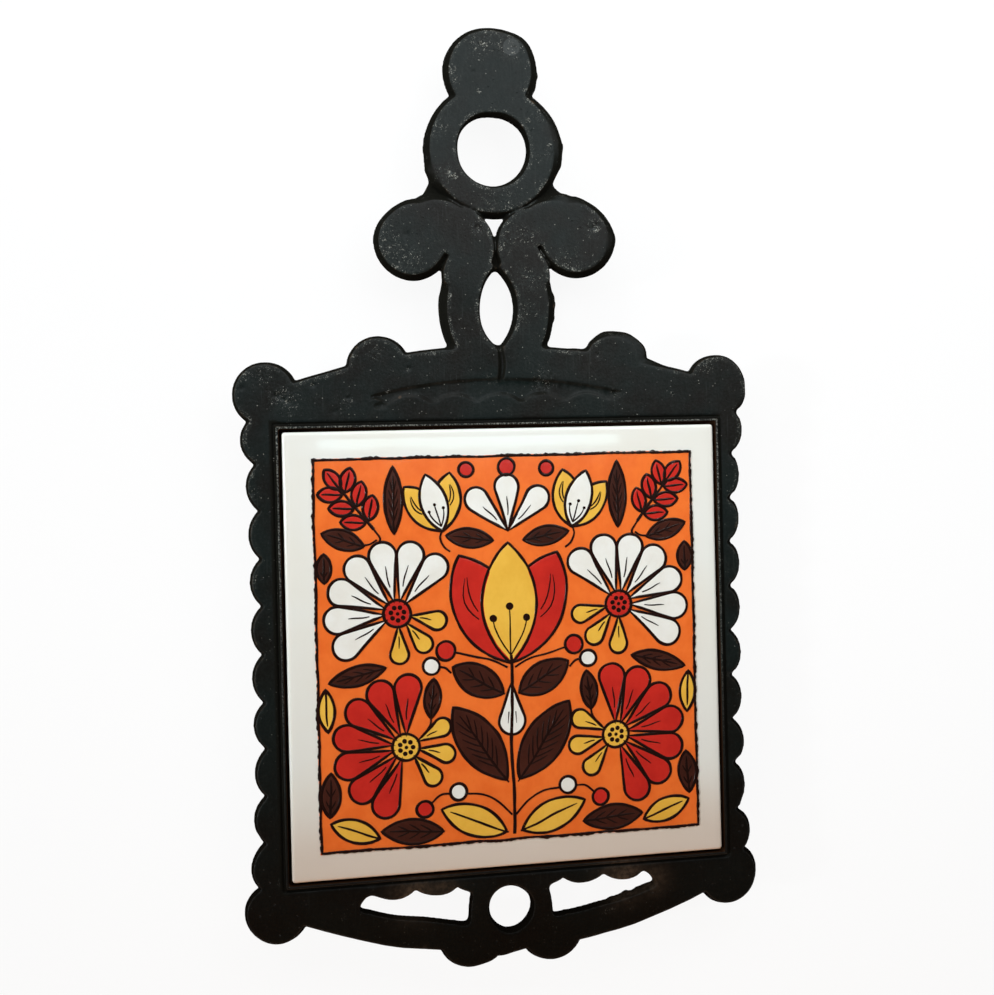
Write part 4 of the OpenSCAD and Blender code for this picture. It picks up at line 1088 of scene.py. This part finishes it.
inks = {
    "ground": enamel("fired_orange", (0.90, 0.185, 0.032), (0.82, 0.145, 0.022), 0.14),
    "red": enamel("fired_red", (0.60, 0.028, 0.018), (0.50, 0.020, 0.014)),
    "yellow": enamel("fired_yellow", (0.86, 0.50, 0.070), (0.78, 0.42, 0.050)),
    "white": enamel("fired_white", (0.86, 0.85, 0.80), (0.80, 0.77, 0.70)),
    "brown": enamel("fired_brown", (0.060, 0.017, 0.011), (0.038, 0.011, 0.007), 0.16, 0.25),
    "line": enamel("fired_key", (0.017, 0.0055, 0.0038), (0.012, 0.0040, 0.0028), 0.12, 0.22),
}


def pad_mesh(name, pads, base_z):
    """Low domes of colour, thick at the rim's inside and level in the middle."""
    rings = ((1.0, 0.0), (0.985, 0.55), (0.95, 0.85), (0.88, 1.0), (0.6, 0.96), (0.3, 0.93))
    rise = print_top - base_z - 0.10 * mm
    verts, faces = [], []
    for outline, level in pads:
        count = len(outline)
        points = [drifted(p) for p in outline]
        middle = sum(points, Vector((0, 0))) / count
        lift = 0.03 * mm * level
        first = len(verts)
        for share, height in rings:
            for p in points:
                x, y = middle + (p - middle) * share + colour_slip + panel_middle.xy
                z = base_z + lift + height * (rise - lift) * (0.75 + 0.25 * min(1.0, level))
                verts.append((x, y, z))
        verts.append((*(middle + colour_slip + panel_middle.xy), verts[-1][2]))
        under = len(verts)
        verts += [(x, y, base_z - 0.05 * mm) for x, y, z in verts[first:first + count]]
        for ring in range(len(rings) - 1):
            for i in range(count):
                a, b = first + ring * count + i, first + ring * count + (i + 1) % count
                faces.append((a, b, b + count, a + count))
        last = first + (len(rings) - 1) * count
        for i in range(count):
            faces.append((last + i, last + (i + 1) % count, under - 1))
            faces.append((first + i, under + i, under + (i + 1) % count, first + (i + 1) % count))
        faces.append(tuple(range(under, under + count))[::-1])
    return new_piece(name, verts, faces, merge=False, turn_out=True)


def line_curve(name, lines, z):
    """Every inked line as one curve, with its width as the points' radii."""
    curve = bpy.data.curves.new(name, "CURVE")
    curve.dimensions = "3D"
    for number, (outline, closed, width, taper) in enumerate(lines):
        if len(outline) < 2:
            continue
        spline = curve.splines.new("POLY")
        spline.points.add(len(outline) - 1)
        spline.use_cyclic_u = closed
        for i, (point, target) in enumerate(zip(spline.points, outline)):
            x, y = drifted(target) + panel_middle.xy
            swing = noise.noise(Vector((target.x, target.y, number * mm)) / (4 * mm))
            share = 1.0 + 0.28 * swing
            if taper:
                t = i / (len(outline) - 1)
                share *= 0.35 + 0.65 * math.sin(math.pi * min(1.0, 0.12 + 0.88 * t)) ** 0.5
            point.radius = width * share * line_width / 2
            point.co = (x, y, z - point.radius * line_flatness, 1.0)
    return placed(name, curve)


noise.seed_set(drift_seed)
draw_pattern()

# The orange ground is one thin, wavy layer whose edge runs out under the dark line
ground = eased_block("print_ground_colour", ground_low, ground_high, 0.05 * mm, (110, 110, 1))
for vertex in ground.data.vertices:
    flat = Vector((vertex.co.x - panel_middle.x, vertex.co.y - panel_middle.y, 0))
    if vertex.co.z > glaze_z + 0.06 * mm:
        vertex.co.z -= 0.012 * mm * (1 + noise.noise(flat / (6 * mm)))
    moved = drifted(flat * (1 - 0.45 * mm / panel_half))
    vertex.co.x, vertex.co.y = moved + panel_middle.xy
dress(ground, inks["ground"], "ink_orange", "print_ground")

for colour in ("red", "yellow", "white", "brown"):
    layer = pad_mesh("print_" + colour + "_pads", drawn_pads[colour], ground_z)
    dress(layer, inks[colour], "ink_" + colour, "print_" + colour)

line_z = print_top - 0.02 * mm
edge = [Vector((x, y, 0)) for x, y in panel_edge()]
edge_line = (edge, True, edge_width / line_width, False)
key_lines = line_curve("print_key_lines", drawn_lines + [edge_line], line_z)
ragged = key_lines.data.splines[-1]
for point in ragged.points:
    tooth = noise.noise(Vector(point.co[:3]) / (1.1 * mm))
    point.radius *= 0.85 + 0.5 * tooth
    outward = Vector((point.co.x, point.co.y)) - panel_middle.xy
    shift = outward.normalized() * 0.22 * mm * tooth
    point.co = (point.co.x + shift.x, point.co.y + shift.y, line_z - point.radius * line_flatness, 1.0)
use_tree(key_lines, ink_tree(), {"Flatness": line_flatness, "Sides": 8, "Ink": inks["line"]})
key_lines = settled(key_lines)
key_dots = pad_mesh("print_key_dots", drawn_pads["line"], ground_z)
whole = bmesh.new()
whole.from_mesh(key_lines.data)
whole.from_mesh(key_dots.data)
whole.to_mesh(key_lines.data)
whole.free()
bpy.data.objects.remove(key_dots)
dress(smooth(key_lines), inks["line"], "ink_line", "print_line")


# The stage: a round white floor that curves up into a wall, stays white to the camera and keeps a
# faint shadow. Over it hang a broad cool softbox at the handle's end, a narrow window and a lamp
# that the tile mirrors, a beam along the tile, and weak fills from the front and the left.
floor_radius, sweep_curve, sweep_height = 3.0, 0.6, 1.4
shadow_share = 0.08
sky_strength = 0.03
sky_colour = (1.0, 0.90, 0.80)


def white_sweep():
    material = bpy.data.materials.new("white_sweep")
    material.use_nodes = True
    tree = material.node_tree
    paint = tree.nodes["Principled BSDF"]
    paint.inputs["Base Color"].default_value = (0.92, 0.92, 0.92, 1.0)
    paint.inputs["Roughness"].default_value = 0.9
    glow = add_node(tree, "ShaderNodeEmission", {"Color": (1.0, 1.0, 1.0, 1.0)})
    rays = tree.nodes.new("ShaderNodeLightPath").outputs
    seen = add_math(tree, "MAXIMUM", rays["Is Camera Ray"], rays["Is Glossy Ray"])
    seen = add_math(tree, "MAXIMUM", seen, rays["Is Transmission Ray"])
    glow_share = add_math(tree, "MULTIPLY", seen, 1.0 - shadow_share)
    both = add_node(tree, "ShaderNodeMixShader", {0: glow_share, 1: paint.outputs[0], 2: glow.outputs[0]})
    tree.links.new(both.outputs[0], tree.nodes["Material Output"].inputs["Surface"])
    return material


sweep_profile = [(0, 0), (floor_radius - sweep_curve, 0)]
sweep_profile += round_corner(floor_radius - sweep_curve, sweep_curve, sweep_curve, 270, 360, 16)
sweep_profile += [(floor_radius, sweep_height)]
sweep = turned("sweep", sweep_profile, 96, Vector((0, 0, 0)))
sweep.data.materials.append(white_sweep())

world = bpy.data.worlds.new("studio")
world.use_nodes = True
sky = world.node_tree.nodes["Background"]
sky.inputs["Color"].default_value = (*sky_colour, 1.0)
sky.inputs["Strength"].default_value = sky_strength
bpy.context.scene.world = world


def aimed(name, lamp_data, place, target):
    """Puts a lamp that the camera can't see at its place, facing the target."""
    lamp = placed(name, lamp_data)
    lamp.visible_camera = False
    lamp.location = place
    lamp.rotation_euler = (Vector(target) - Vector(place)).to_track_quat("-Z", "Y").to_euler()


def softbox(name, place, target, size, power, colour):
    lamp_data = bpy.data.lights.new(name, "AREA")
    lamp_data.shape = "RECTANGLE"
    lamp_data.size, lamp_data.size_y = size
    lamp_data.energy = power
    lamp_data.color = colour
    aimed(name, lamp_data, place, target)


softbox("key_over_handle", (0.0, 0.425, 0.32), (0.0, 0.425, 0.0), (0.9, 0.60), 4.9, (0.95, 1.0, 1.03))
softbox("window_band", (0.039, 0.0213, 0.32), (0.039, 0.0213, 0.0), (0.175, 0.0072), 0.0145,
        (0.70, 1.0, 1.04))
softbox("room_lamp", (0.13, 0.105, 0.32), (0.13, 0.105, 0.0), (0.02, 0.02), 0.07, (1.0, 1.0, 0.95))
softbox("warm_front", (0.0, -0.38, 0.16), (0.0, -0.12, 0.02), (0.5, 0.12), 0.4, (1.0, 0.50, 0.20))
softbox("fill_from_left", (-0.75, -0.05, 0.35), (0.0, 0.0, 0.0), (0.5, 0.4), 0.4, (1.0, 0.96, 0.92))
beam = bpy.data.lights.new("tile_beam", "SPOT")
beam.energy = 86.0
beam.color = (0.92, 1.0, 1.03)
beam.spot_size = math.radians(11.0)
beam.spot_blend = 1.0
beam.shadow_soft_size = 0.12
aimed("tile_beam", beam, (-1.1, -0.036, 0.6), (0.01, -0.036, 0.02))

bpy.context.scene.view_settings.view_transform = "Standard"
